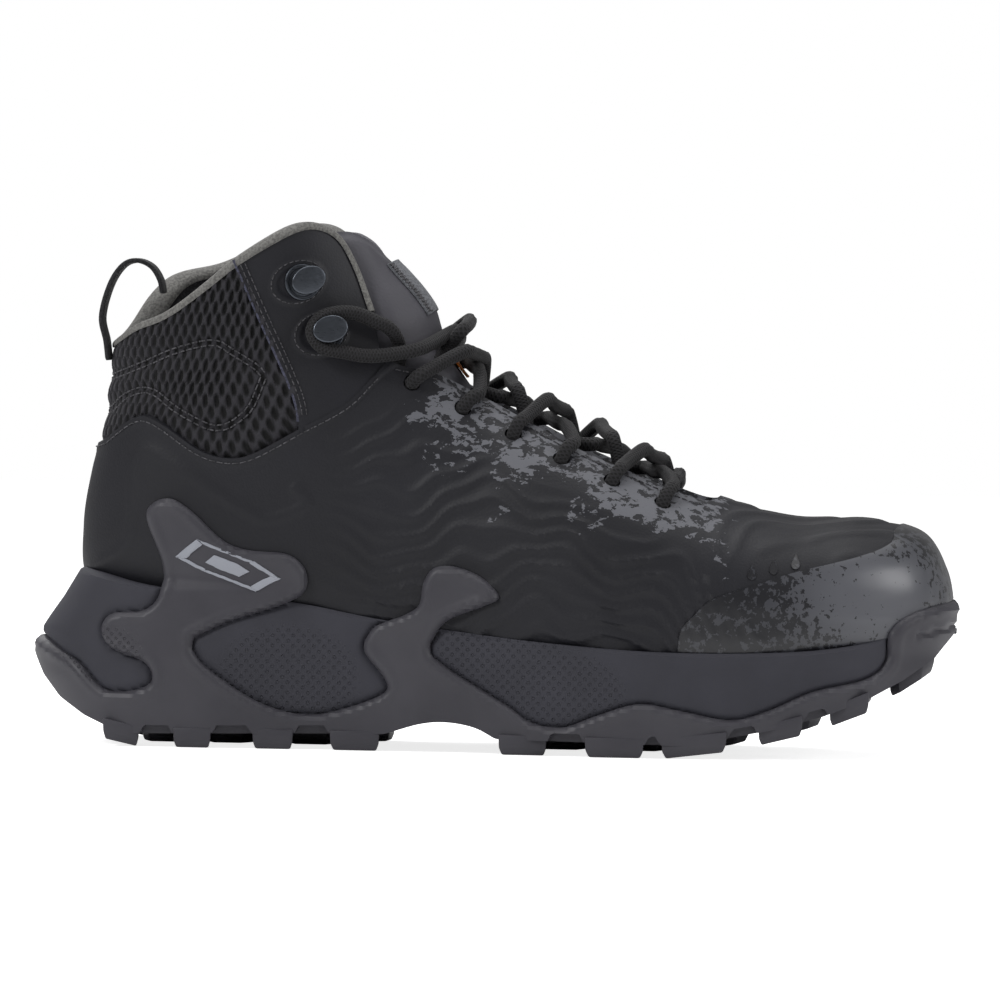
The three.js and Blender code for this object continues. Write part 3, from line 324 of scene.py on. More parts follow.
# ---------- Sheets ----------
def spread(u_from, u_to, t_from, t_to, size, fine=1.0):
    """Rows of u and, for each row, angles t with even steps between them, about one size apart."""
    u = np.linspace(u_from, u_to, 400)
    run = np.zeros(400)
    for t in np.linspace(t_from, t_to, 7):
        leg = np.linalg.norm(np.diff(form(u, np.full(400, t)), axis=0), axis=1)
        run[1:] = np.maximum(run[1:], leg)
    along = np.cumsum(run)
    rows = np.interp(np.linspace(0, along[-1], max(int(along[-1] / size), 2) + 1), along, u)
    t = np.linspace(t_from, t_to, 500)
    grid = form(rows[:, None] + 0 * t, t + 0 * rows[:, None])
    legs = np.cumsum(np.linalg.norm(np.diff(grid, axis=1), axis=2), axis=1)
    around = np.hstack([np.zeros((len(rows), 1)), legs])
    count = max(int(around[:, -1].max() / (size * fine)), 2)
    share = np.linspace(0, 1, count + 1)
    return rows, np.stack([np.interp(share * a[-1], a, t) for a in around])


class Sheet:
    """A grid with two surface numbers on each vertex, trimmed and walled while it is a bmesh."""

    def __init__(self, surface, p, q):
        self.surface = surface
        self.bm = bmesh.new()
        rows, columns = q.shape[0] - 1, q.shape[1] - 1
        bmesh.ops.create_grid(self.bm, x_segments=rows, y_segments=columns, size=0.5)
        self.p, self.q = (self.bm.verts.layers.float.new(n) for n in ("p", "q"))
        for v in self.bm.verts:
            i, j = round((v.co.x + 0.5) * rows), round((v.co.y + 0.5) * columns)
            v[self.p], v[self.q] = float(p[i]), float(q[i, j])
        self.place()

    def numbers(self, verts):
        return (np.array([v[self.p] for v in verts]), np.array([v[self.q] for v in verts]))

    def place(self, depth=0.0, verts=None):
        """Puts the vertices on the surface, at a depth under it, which may be a function of their points."""
        verts = list(verts or self.bm.verts)
        p, q = self.numbers(verts)
        if callable(depth):
            depth = depth(self.surface(p, q, 0.0))
        for v, co in zip(verts, self.surface(p, q, depth)):
            v.co = co

    def trim(self, *fields):
        """Cuts the sheet along each field's zero line and keeps the side where it is positive."""
        for field in fields:
            verts = list(self.bm.verts)
            value = field(np.array([v.co for v in verts]))
            of = {v: (x if abs(x) > 1e-5 else 1e-5) for v, x in zip(verts, value)}
            fresh = []
            for e in [e for e in self.bm.edges if of[e.verts[0]] * of[e.verts[1]] < 0]:
                a, b = e.verts
                share = min(max(of[a] / (of[a] - of[b]), 0.03), 0.97)
                cut = bmesh.utils.edge_split(e, a, share)[1]
                of[cut] = 0.0
                fresh.append(cut)
            if fresh:
                bmesh.ops.connect_verts(self.bm, verts=fresh)
            drop = [f for f in self.bm.faces if sum(of[v] for v in f.verts) < 0]
            bmesh.ops.delete(self.bm, geom=drop, context="FACES")
            loose = [v for v in self.bm.verts if not v.link_faces]
            bmesh.ops.delete(self.bm, geom=loose, context="VERTS")

    def wall(self, front, back):
        """Places the front, and closes the sheet with a back at its own depth."""
        first = list(self.bm.verts)
        made = bmesh.ops.extrude_face_region(self.bm, geom=list(self.bm.faces))
        moved = [g for g in made["geom"] if isinstance(g, bmesh.types.BMVert)]
        self.place(front, moved)
        self.place(back, first)
        bmesh.ops.recalc_face_normals(self.bm, faces=self.bm.faces)
        return moved

    def paint(self, name, value):
        """Keeps a number from 0 to 1 on each vertex, for the material."""
        layer = self.bm.verts.layers.float.new(name)
        for v, x in zip(self.bm.verts, value(np.array([v.co for v in self.bm.verts]))):
            v[layer] = float(x)

    def finish(self, name, material):
        return finish(self.bm, name, material)


def finish(bm, name, material, crease=38):
    """A bmesh in millimetres as an object in metres, at the origin, shaded smooth up to an angle."""
    bmesh.ops.scale(bm, vec=(MM, MM, MM), verts=bm.verts)
    mesh = bpy.data.meshes.new(name)
    bm.to_mesh(mesh)
    bm.free()
    mesh.shade_smooth()
    mesh.set_sharp_from_angle(angle=math.radians(crease))
    obj = bpy.data.objects.new(name, mesh)
    bpy.context.scene.collection.objects.link(obj)
    mesh.materials.append(material)
    return obj


def settle(obj, body, slot, *nodes):
    """Puts a piece on its body and hides the frame's nodes that it stands for; its slot is not used."""
    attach(obj, body)
    if nodes:
        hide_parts(*nodes)
    return obj


def sweep(bm, rings, closed=False, length=None):
    """Skins rings of equal size: a grid is laid over them, wrapped round, merged and capped."""
    rings = np.asarray(rings, float)
    count, sides = rings.shape[:2]
    rows = count if closed else count - 1
    skin_bm = bmesh.new()
    uv = skin_bm.loops.layers.uv.new("along") if length else None
    bmesh.ops.create_grid(skin_bm, x_segments=rows, y_segments=sides, size=0.5, calc_uvs=bool(length))
    for v in skin_bm.verts:
        v.co = rings[round((v.co.x + 0.5) * rows) % count, round((v.co.y + 0.5) * sides) % sides]
    if length:
        for loop in (loop for face in skin_bm.faces for loop in face.loops):
            loop[uv].uv.x *= length
    bmesh.ops.remove_doubles(skin_bm, verts=skin_bm.verts, dist=1e-4)
    bmesh.ops.holes_fill(skin_bm, edges=[e for e in skin_bm.edges if e.is_boundary])
    bmesh.ops.recalc_face_normals(skin_bm, faces=skin_bm.faces)
    join(bm, skin_bm)


def tube(bm, path, radius, sides, up=(0.3, 0.2, 1), lobes=1.0, length=None):
    """A tube along a path, which doesn't twist. Its radius may change along it, and its lobes round it."""
    path = np.asarray(path, float)
    tangent = np.gradient(path, axis=0)
    tangent /= np.linalg.norm(tangent, axis=1, keepdims=True)
    side = np.cross(tangent[0], up)
    turn = np.linspace(0, 2 * math.pi, sides, endpoint=False)
    rings = []
    for at, d, r in zip(path, tangent, np.broadcast_to(radius, len(path))):
        side = side - d * (side @ d)
        side /= np.linalg.norm(side)
        circle = np.outer(np.cos(turn), side) + np.outer(np.sin(turn), np.cross(d, side))
        rings.append(at + circle * r * np.broadcast_to(lobes, sides)[:, None])
    sweep(bm, rings, length=length)


# ---------- Materials ----------
STRAND_STEP = 1.1  # millimetres along the lace from one strand to the next
STRANDS_ROUND = 6.0  # strands that run each way round the lace


def linear(hex_colour):
    """An sRGB hex value as linear red, green, blue and alpha."""
    channels = [int(hex_colour[k:k + 2], 16) / 255 for k in (0, 2, 4)]
    return (*[c / 12.92 if c <= 0.04045 else ((c + 0.055) / 1.055) ** 2.4 for c in channels], 1.0)


def put(tree, kind, inputs=None, stops=(), **settings):
    """Adds one node with its settings, its inputs, each a value or a socket, and its colour stops."""
    made = tree.nodes.new(kind)
    for key, value in settings.items():
        setattr(made, key, value)
    for socket, value in (inputs or {}).items():
        if isinstance(value, bpy.types.NodeSocket):
            tree.links.new(value, made.inputs[socket])
        else:
            made.inputs[socket].default_value = value
    for k, (at, shade) in enumerate(stops):
        stop = made.color_ramp.elements[k] if k < 2 else made.color_ramp.elements.new(at)
        stop.position = at
        stop.color = shade if isinstance(shade, tuple) else (shade, shade, shade, 1)
    return made


def new_material(name, base, roughness, **more):
    """A material with its shader: what is the same all over is set on the shader's own sockets."""
    material = bpy.data.materials.new(name)
    material.use_nodes = True
    tree = material.node_tree
    tree.nodes.clear()
    values = {"Base Color": linear(base), "Roughness": roughness, "Specular IOR Level": 0.36, **more}
    shader = put(tree, "ShaderNodeBsdfPrincipled", values)
    put(tree, "ShaderNodeOutputMaterial", {"Surface": shader.outputs["BSDF"]})
    place = put(tree, "ShaderNodeTexCoord")
    return material, tree, shader, place


def lead_in(tree, shader, relief, colour=None):
    """Leads the surface's relief, and its colour where that changes over it, into the shader."""
    tree.links.new(relief.outputs["Normal"], shader.inputs["Normal"])
    if colour:
        tree.links.new(colour, shader.inputs["Base Color"])


def per_mm(size):
    """A texture's scale for a feature of that many millimetres, on coordinates in metres."""
    return 1 / (size * MM)


def moulded_skin(colours):
    """Moulded polyurethane skin: matt, with the mould's fine pebble and a printed speckle."""
    m, tree, shader, place = new_material("moulded_polyurethane_skin", colours.skin, 0.56)
    obj = place.outputs["Object"]
    # the print: blotches of about 3 mm, bent by a wider warp
    warp = put(tree, "ShaderNodeTexNoise", {"Scale": per_mm(5.5), "Detail": 1.0, "Vector": obj})
    bent = put(tree, "ShaderNodeVectorMath", {0: warp.outputs["Color"], "Scale": 4 * MM}, operation="SCALE")
    moved = put(tree, "ShaderNodeVectorMath", {0: obj, 1: bent.outputs[0]}, operation="ADD")
    wide = put(tree, "ShaderNodeMapping", {"Scale": (0.75, 1, 1.3), "Vector": moved.outputs[0]})
    speck = put(tree, "ShaderNodeTexNoise", {
        "Scale": per_mm(3.4), "Detail": 4.0, "Roughness": 0.66, "Vector": wide.outputs[0]})
    cover = put(tree, "ShaderNodeAttribute", attribute_name="printed")
    share = put(tree, "ShaderNodeMath", {0: cover.outputs["Fac"], 1: 0.33}, operation="MULTIPLY")
    level = put(tree, "ShaderNodeMath", {0: speck.outputs["Fac"], 1: share.outputs[0]}, operation="ADD")
    printed = put(tree, "ShaderNodeValToRGB", {"Fac": level.outputs[0]}, [(0.0, 0.0), (0.77, 1.0)])
    printed.color_ramp.interpolation = "CONSTANT"
    cloud = put(tree, "ShaderNodeTexNoise", {"Scale": per_mm(45), "Detail": 2.0, "Vector": obj})
    plain = put(tree, "ShaderNodeValToRGB", {"Fac": cloud.outputs["Fac"]}, [
        (0.3, linear(colours.skin)), (0.75, linear(colours.skin_light))])
    tone = put(tree, "ShaderNodeMix", {
        "Factor": printed.outputs["Color"], 6: plain.outputs["Color"], 7: linear(colours.printed)},
        data_type="RGBA")
    # pebble of about 0.8 mm, coarser inside the heel's moulded band
    coarse = put(tree, "ShaderNodeAttribute", attribute_name="coarse")
    fine = put(tree, "ShaderNodeTexVoronoi", {"Scale": per_mm(0.75), "Vector": obj}, feature="SMOOTH_F1")
    big = put(tree, "ShaderNodeTexVoronoi", {"Scale": per_mm(1.25), "Vector": obj}, feature="SMOOTH_F1")
    grain = put(tree, "ShaderNodeMix", {
        "Factor": coarse.outputs["Fac"], 2: fine.outputs["Distance"], 3: big.outputs["Distance"]})
    pebble = put(tree, "ShaderNodeBump", {
        "Strength": 0.32, "Distance": 0.22 * MM, "Height": grain.outputs[0]})
    raised = put(tree, "ShaderNodeBump", {
        "Strength": 0.3, "Distance": 0.12 * MM, "Height": printed.outputs["Color"],
        "Normal": pebble.outputs["Normal"]})
    lead_in(tree, shader, raised, tone.outputs[2])
    return m


def plain_skin(name, colour, roughness=0.55, grain=0.7, strength=0.3, light=None):
    """A smooth pressed or moulded face: soft clouds of colour, and a low grain that breaks the gloss."""
    m, tree, shader, place = new_material(name, colour, roughness)
    obj = place.outputs["Object"]
    cell = put(tree, "ShaderNodeTexVoronoi", {"Scale": per_mm(grain), "Vector": obj}, feature="SMOOTH_F1")
    relief = put(tree, "ShaderNodeBump", {
        "Strength": strength, "Distance": 0.18 * MM, "Height": cell.outputs["Distance"]})
    cloud = put(tree, "ShaderNodeTexNoise", {"Scale": per_mm(30), "Detail": 3.0, "Vector": obj})
    tone = put(tree, "ShaderNodeValToRGB", {"Fac": cloud.outputs["Fac"]}, [
        (0.3, linear(colour)), (0.75, linear(light or colour))])
    lead_in(tree, shader, relief, tone.outputs["Color"])
    return m


def dimpled(name, colour, light, roughness, pitch):
    """Moulded rubber or foam: matt, with a fine mould texture, and small craters on the pods."""
    m, tree, shader, place = new_material(name, colour, roughness)
    obj = place.outputs["Object"]
    cloud = put(tree, "ShaderNodeTexNoise", {"Scale": per_mm(26), "Detail": 4.0, "Vector": obj})
    tone = put(tree, "ShaderNodeValToRGB", {"Fac": cloud.outputs["Fac"]}, [
        (0.3, linear(colour)), (0.72, linear(light))])
    fine = put(tree, "ShaderNodeTexNoise", {"Scale": per_mm(0.5), "Detail": 2.0, "Vector": obj})
    turned = put(tree, "ShaderNodeMapping", {"Rotation": (0, math.radians(45), 0), "Vector": obj})
    flat = put(tree, "ShaderNodeSeparateXYZ", {"Vector": turned.outputs[0]})
    side = put(tree, "ShaderNodeCombineXYZ", {"X": flat.outputs["X"], "Y": flat.outputs["Z"]})
    cell = put(tree, "ShaderNodeTexVoronoi", {
        "Scale": per_mm(pitch), "Randomness": 0.0, "Vector": side.outputs[0]}, voronoi_dimensions="2D")
    crater = put(tree, "ShaderNodeValToRGB", {"Fac": cell.outputs["Distance"]}, [
        (0.10, 0.0), (0.24, 1.0), (0.30, 0.6)])
    mask = put(tree, "ShaderNodeAttribute", attribute_name="dimpled")
    level = put(tree, "ShaderNodeMix", {2: 0.6, "Factor": mask.outputs["Fac"], 3: crater.outputs["Color"]})
    texture = put(tree, "ShaderNodeBump", {
        "Strength": 0.18, "Distance": 0.12 * MM, "Height": fine.outputs["Fac"]})
    craters = put(tree, "ShaderNodeBump", {
        "Strength": 0.9, "Distance": 0.45 * MM, "Height": level.outputs[0],
        "Normal": texture.outputs["Normal"]})
    lead_in(tree, shader, craters, tone.outputs["Color"])
    return m


def knitted_mesh(colours):
    """Knitted spacer mesh: round strands of yarn, with open holes whose insides are painted near-black, as
    painted shade.
    """
    m, tree, shader, place = new_material("knitted_spacer_mesh", colours.mesh, 0.8, **{"Sheen Weight": 0.05})
    hole = put(tree, "ShaderNodeAttribute", attribute_name="hole")
    # painted shade: the holes are painted near-black for the shade inside them
    tone = put(tree, "ShaderNodeMix", {
        "Factor": hole.outputs["Fac"], 6: linear(colours.mesh), 7: linear("020203")}, data_type="RGBA")
    yarn = put(tree, "ShaderNodeTexNoise", {
        "Scale": per_mm(0.6), "Detail": 2.0, "Vector": place.outputs["Object"]})
    relief = put(tree, "ShaderNodeBump", {
        "Strength": 0.5, "Distance": 0.3 * MM, "Height": yarn.outputs["Fac"]})
    lead_in(tree, shader, relief, tone.outputs[2])
    return m


def woven(name, colour, dark, pitch, roughness=0.85, strength=0.5):
    """Woven or felted textile: a matt face with small rounded threads and a mottle from mixed yarns."""
    m, tree, shader, place = new_material(name, colour, roughness, **{"Sheen Weight": 0.06})
    obj = place.outputs["Object"]
    mottle = put(tree, "ShaderNodeTexNoise", {"Scale": per_mm(0.8), "Detail": 3.0, "Vector": obj})
    tone = put(tree, "ShaderNodeValToRGB", {"Fac": mottle.outputs["Fac"]}, [
        (0.38, linear(dark)), (0.62, linear(colour))])
    thread = put(tree, "ShaderNodeTexVoronoi", {"Scale": per_mm(pitch), "Vector": obj}, feature="SMOOTH_F1")
    relief = put(tree, "ShaderNodeBump", {
        "Strength": strength, "Distance": 0.25 * MM, "Height": thread.outputs["Distance"]})
    lead_in(tree, shader, relief, tone.outputs["Color"])
    return m


def braided(colours):
    """Round braided polyester: strands cross at an angle round the lace, with grooves along it."""
    m, tree, shader, place = new_material("braided_polyester", colours.lace, 0.78, **{"Sheen Weight": 0.06})
    flat = put(tree, "ShaderNodeSeparateXYZ", {"Vector": place.outputs["UV"]})
    waves = []
    for turn in (STRANDS_ROUND, -STRANDS_ROUND):
        along = put(tree, "ShaderNodeMath", {0: flat.outputs["X"], 1: 1 / STRAND_STEP}, operation="MULTIPLY")
        around = put(tree, "ShaderNodeMath", {0: flat.outputs["Y"], 1: turn}, operation="MULTIPLY")
        lean = put(tree, "ShaderNodeMath", {0: along.outputs[0], 1: around.outputs[0]}, operation="ADD")
        phase = put(tree, "ShaderNodeMath", {0: lean.outputs[0], 1: 2 * math.pi}, operation="MULTIPLY")
        waves.append(put(tree, "ShaderNodeMath", {0: phase.outputs[0], 1: 0.0}, operation="SINE").outputs[0])
    weave = put(tree, "ShaderNodeMath", {0: waves[0], 1: waves[1]}, operation="MAXIMUM")
    # painted shade: the gaps between the strands are painted darker than their crowns
    tone = put(tree, "ShaderNodeValToRGB", {"Fac": weave.outputs[0]}, [
        (0.0, linear(colours.lace_gap_painted_shade)), (0.9, linear(colours.lace))])
    relief = put(tree, "ShaderNodeBump", {"Strength": 0.6, "Distance": 0.2 * MM, "Height": weave.outputs[0]})
    lead_in(tree, shader, relief, tone.outputs["Color"])
    return m


def welded_film(colours):
    """Glossy welded film: a lacquered face with dark printed flecks, and a painted highlight: a round pool at
    the toe's front is painted lighter and has the fewest flecks.
    """
    coat = {"Coat Weight": 0.5, "Coat Roughness": 0.25}
    m, tree, shader, place = new_material("welded_film", colours.film, 0.34, **coat)
    speck = put(tree, "ShaderNodeTexNoise", {
        "Scale": per_mm(2.6), "Detail": 4.0, "Roughness": 0.66, "Vector": place.outputs["Object"]})
    fleck_fade_and_painted_highlight = put(tree, "ShaderNodeAttribute", attribute_name="printed")
    share = put(tree, "ShaderNodeMath", {0: fleck_fade_and_painted_highlight.outputs["Fac"], 1: 0.24}, operation="MULTIPLY")
    level = put(tree, "ShaderNodeMath", {0: speck.outputs["Fac"], 1: share.outputs[0]}, operation="ADD")
    clear = put(tree, "ShaderNodeValToRGB", {"Fac": level.outputs[0]}, [(0.0, 0.0), (0.585, 1.0)])
    clear.color_ramp.interpolation = "CONSTANT"
    # painted highlight: the film's colour goes from film_shade at its edges to film in a round pool at the
    # toe's front
    glow = put(tree, "ShaderNodeMix", {
        "Factor": fleck_fade_and_painted_highlight.outputs["Fac"], 6: linear(colours.film_shade), 7: linear(colours.film)},
        data_type="RGBA")
    tone = put(tree, "ShaderNodeMix", {
        "Factor": clear.outputs["Color"], 6: linear(colours.skin), 7: glow.outputs[2]}, data_type="RGBA")
    relief = put(tree, "ShaderNodeBump", {
        "Strength": 0.3, "Distance": 0.1 * MM, "Height": clear.outputs["Color"]})
    lead_in(tree, shader, relief, tone.outputs[2])
    return m


def plated(colours):
    """Gunmetal plating over brass: satin, with faint brushing along the plate."""
    m, tree, shader, place = new_material("gunmetal_plating", colours.metal, 0.34, Metallic=1.0)
    stretched = put(tree, "ShaderNodeMapping", {"Scale": (0.08, 1, 1), "Vector": place.outputs["Object"]})
    lines = put(tree, "ShaderNodeTexNoise", {
        "Scale": per_mm(0.35), "Detail": 2.0, "Vector": stretched.outputs[0]})
    relief = put(tree, "ShaderNodeBump", {
        "Strength": 0.12, "Distance": 0.08 * MM, "Height": lines.outputs["Fac"]})
    rough = put(tree, "ShaderNodeValToRGB", {"Fac": lines.outputs["Fac"]}, [(0.3, 0.27), (0.7, 0.42)])
    tree.links.new(rough.outputs["Color"], shader.inputs["Roughness"])
    lead_in(tree, shader, relief)
    return m


def material(name):
    """The scene's material of that finish, made once."""
    if name not in made_materials:
        made_materials[name] = FINISHES[name](bpy.context.scene.boot_colours)
    return made_materials[name]


made_materials = {}
FINISHES = {
    "skin": moulded_skin,
    "panel": lambda c: plain_skin("synthetic_leather", c.panel, 0.5, 0.7, 0.25, c.skin_light),
    "tongue": lambda c: plain_skin("tongue_leather", c.tongue, 0.55, 0.9, 0.4, c.tongue_light),
    "rubber": lambda c: dimpled("moulded_rubber", c.rubber, c.rubber_light, 0.47, 2.0),
    "foam": lambda c: dimpled("moulded_eva_foam", c.foam, c.foam_light, 0.7, 2.4),
    "mesh": knitted_mesh,
    "lining": lambda c: woven("knitted_lining", "29292c", "0f0f11", 1.6, 0.85, 0.9),
    "binding": lambda c: woven("melange_binding", c.binding, c.binding_dark, 0.55, 0.8, 0.5),
    "thread": lambda c: woven("sewing_thread", "59585c", "2a2a2d", 0.3, 0.7, 0.2),
    "edge": lambda c: woven("sealed_edge", "4b4c5e", "2e2f3d", 0.5, 0.6, 0.3),
    "webbing": lambda c: woven("woven_webbing", "2a2a2d", "161618", 0.7, 0.75, 0.8),
    "accent": lambda c: woven("woven_tape", c.accent, "8a4a10", 0.5),
    "label": lambda c: woven("woven_label", "75777c", "54565b", 0.5, 0.6, 0.4),
    "board": lambda c: woven("insole_board", "b9b2a0", "8f8978", 0.8),
    "nylon": lambda c: plain_skin("moulded_nylon", "1d1d20", 0.45, 0.5, 0.15),
    "braid": braided,
    "film": welded_film,
    "metal": plated,
    "steel": lambda c: plain_skin("pressed_steel", "9a9ca0", 0.35, 0.5, 0.1),
    "tip": lambda c: plain_skin("clear_tipping", "141416", 0.25, 0.6, 0.05),
    "mark": lambda c: plain_skin("light_inlay", c.mark, 0.4, 0.6, 0.1),
}


# ---------- Properties ----------
def length_mm(name, value, description):
    return bpy.props.FloatProperty(name=name, description=description, default=value, min=0.0)


def colour_hex(name, value, description):
    return bpy.props.StringProperty(name=name, description=description, default=value)


class BootSizes(bpy.types.PropertyGroup):
    """Sizes in millimetres."""
    grid: length_mm("Grid", 1.4, "Spacing of the moulded skin's grid, in millimetres")
    lace: length_mm("Lace", 4.7, "Diameter of the lace, in millimetres")
    ridge: length_mm("Ridge", 0.75, "Height of the moulded ridges on the upper, in millimetres")
    puff: length_mm("Puff", 2.2, "How far the quilted pads stand over their seams, in millimetres")
    stitch: length_mm("Stitch", 1.7, "Length of one stitch, in millimetres")
    fin: length_mm("Fin", 2.5, "How far the rubber fins stand off the upper, in millimetres")


class BootColours(bpy.types.PropertyGroup):
    """Colours as sRGB hex values."""
    skin: colour_hex("Skin", "18181d", "Moulded upper")
    skin_light: colour_hex("Skin highlights", "1f1f25", "Lighter clouds in the moulded upper")
    printed: colour_hex("Print", "626369", "Speckle printed over the lacing")
    panel: colour_hex("Hook panel", "19191e", "Panels that carry the hooks")
    tongue: colour_hex("Tongue", "4a494f", "Face of the tongue")
    tongue_light: colour_hex("Tongue highlights", "545359", "Lighter clouds in the tongue")
    rubber: colour_hex("Rubber", "3d3c42", "Outsole and fins")
    rubber_light: colour_hex("Rubber highlights", "46454b", "Lighter clouds in the rubber")
    foam: colour_hex("Foam", "33333a", "Midsole")
    foam_light: colour_hex("Foam highlights", "3b3b43", "Lighter clouds in the midsole")
    mesh: colour_hex("Mesh", "2d2c31", "Knitted mesh of the collar")
    binding: colour_hex("Binding", "7b7a77", "Binding of the collar")
    binding_dark: colour_hex("Binding shade", "5c5b59", "Darker yarn in the binding")
    # the toe film's colour in the middle of its round painted highlight, and at its edges
    film: colour_hex("Toe film", "5a5b61", "Glossy film over the toe, where it is brightest")
    film_shade: colour_hex("Toe film shade", "33343a", "Glossy film over the toe, at its edges")
    lace: colour_hex("Lace", "232225", "Raised strands of the lace")
    # painted shade in the gaps between the lace's strands
    lace_gap_painted_shade: colour_hex("Lace shade", "0c0b0c", "Gaps between the lace's strands")
    metal: colour_hex("Metal", "585c63", "Hooks and washers")
    accent: colour_hex("Accent", "c06a1c", "Tape on the tongue")
    mark: colour_hex("Mark", "9a9da6", "Inlay on the heel fin")


# ---------- The upper ----------
def ridges(points):
    """Height of the moulded contour lines, from 0 to 1, and how strongly they show."""
    x, z, y = points[:, 0], points[:, 2], np.abs(points[:, 1])
    top = step(x, 55, 90)
    calm = 1 - 0.72 * top
    field = (
        z * (0.9 - 0.5 * top) + top * (0.3 * x + 0.8 * np.hypot(y, 14))
        + calm * 4.4 * np.sin(x * 0.08 + z * 0.05 + 0.5)
        + calm * 2.2 * np.sin(x * 0.16 - z * 0.1 + 1.1)
        + 0.8 * calm * np.sin(x * 0.33 + z * 0.12)
        + top * 1.2 * np.sin(x * 0.12 + z * 0.2)
    )
    phase = field / RIDGE_STEP
    wave = np.abs(phase - np.floor(phase) - 0.5) * 2
    line = 1 - step(wave, 0.05, 0.6)
    side = step(x, -62, -30) * (1 - step(over(points, THROAT_LINE), -26, -12))
    toe = step(x, 66, 84)
    calm_patch = step(segments(points[:, [0, 2]], np.array([[84.0, 60.0], [102.0, 64.5]])), 4, 8)
    return line * np.maximum(side, toe) * calm_patch


THROAT_LINE = np.array([
    [-160, 118], [-35, 127.5], [-18, 123], [12, 107.8], [47.5, 91.4], [71, 83.4], [80, 60], [170, 60],
])
BLOTCHES = [  # x, z and radius of the print's blotches below the lacing
    (3, 78, 6), (31, 78, 9), (57, 81, 8), (-14, 98, 12), (6, 92, 10), (42, 84, 8), (-22, 108, 10),
]
RIDGE_STEP = 6.0  # from one moulded line to the next


def skin_relief(points):
    """How far the moulded skin stands off its form."""
    sizes = bpy.context.scene.boot_sizes
    xz = points[:, [0, 2]]
    band = segments(xz, HEEL_BAND)
    heel = 0.45 * (1 - step(band, 1.3, 2.1))
    hem = 0.5 * (1 - step(-over(points, WAVE), 2.0, 3.6)) * (points[:, 0] < -25)
    edge = -opening(points)
    stay = 0.45 * (1 - step(edge, 3.2, 4.4)) * (points[:, 0] > -36)
    return sizes.ridge * ridges(points) + heel + hem + stay


def inset(points):
    """The panels run up under the binding, and stop at the throat's edge."""
    return 1.4 * (1 - step(points[:, 0], -46, -38))


def keep_out_of_opening(points):
    """Positive where the moulded skin is, clear of the mouth and the throat."""
    return -opening(points) - inset(points)


def eyelet_fields():
    """For each eyelet, how far a point is outside its hole."""
    fields = []
    for hand in (OUTER, INNER):
        at, n = on_skin(EYELETS, hand)
        for centre, axis in zip(at, n):
            def field(points, centre=centre, axis=axis):
                rel = points - centre
                away = np.linalg.norm(rel - np.outer(rel @ axis, axis), axis=1)
                return np.where(np.linalg.norm(rel, axis=1) < 12, away - EYELET_RADIUS, 9.0)
            fields.append(field)
    return fields


def print_cover(points):
    """Where the speckle is printed: dense along the lacing, with a few blotches lower down."""
    x, z = points[:, 0], points[:, 2]
    line = -over(points, THROAT_LINE)
    cover = (1 - step(line, 6, 22)) * step(x, -36, -14) * (1 - step(x, 70, 84))
    blot = np.zeros(len(x))
    for bx, bz, r in BLOTCHES:
        blot = np.maximum(blot, 1 - step(np.hypot(x - bx, (z - bz) * 1.25), r * 0.5, r * 1.3))
    return np.clip(0.85 * cover + 0.6 * blot, 0, 1)


def build_shell():
    """The moulded skin, from the toe to the collar's lower edge, with its eyelets cut out."""
    sizes = bpy.context.scene.boot_sizes
    rows, turns = spread(0.02, 17.2, -math.pi / 2, 1.5 * math.pi, sizes.grid)
    shell = Sheet(form, rows, turns)
    shell.trim(
        lambda p: -over(p, WAVE),
        lambda p: over(p, FEATHER) + 9,
        keep_out_of_opening,
        *eyelet_fields(),
    )
    shell.paint("printed", print_cover)
    shell.paint("coarse", lambda p: step(inside(p[:, [0, 2]], INSIDE_HEEL_BAND), 0.5, 3))
    shell.wall(lambda p: -skin_relief(p), 1.8)
    return shell.finish("moulded_upper", material("skin"))


# ---------- The collar ----------
def quilt(points):
    """Height of the quilted pads over their seams, from 0 at a seam to 1."""
    xz = points[:, [0, 2]]
    seam = np.minimum(segments(xz, QUILT_TOP), segments(xz, QUILT_LOW))
    edges = np.minimum(np.abs(over(points, WAVE)), np.abs(opening(points)))
    return (1 - np.exp(-np.maximum(seam - 0.8, 0) / 3.2)) * (1 - np.exp(-edges / 2.5))


HOLE_ROUND, HOLE_UP = 4.3, 7.6  # from hole to hole, round the collar and up it
HOLE_WIDE, HOLE_TALL = 1.3, 2.75  # half the size of one hole


def mesh_holes(points, t):
    """Lens-shaped holes in a staggered net, from 0 at the yarn to 1 in the middle of a hole."""
    turn = np.linspace(-6, 2.5, 600)
    path = form(np.full(600, 15.0), turn)
    run = np.concatenate([[0], np.cumsum(np.linalg.norm(np.diff(path, axis=0), axis=1))])
    around = np.interp(t, turn, run)
    up = points[:, 2]
    s, h = around / HOLE_ROUND, up / HOLE_UP
    best = np.full(len(points), 9.0)
    for ds, dh in ((0, 0), (0.5, 0.5)):
        a = (s + ds - np.round(s + ds)) * HOLE_ROUND / HOLE_WIDE
        b = (h + dh - np.round(h + dh)) * HOLE_UP / HOLE_TALL
        best = np.minimum(best, a**2 + b**2)
    return 1 - step(best, 0.25, 1.1)


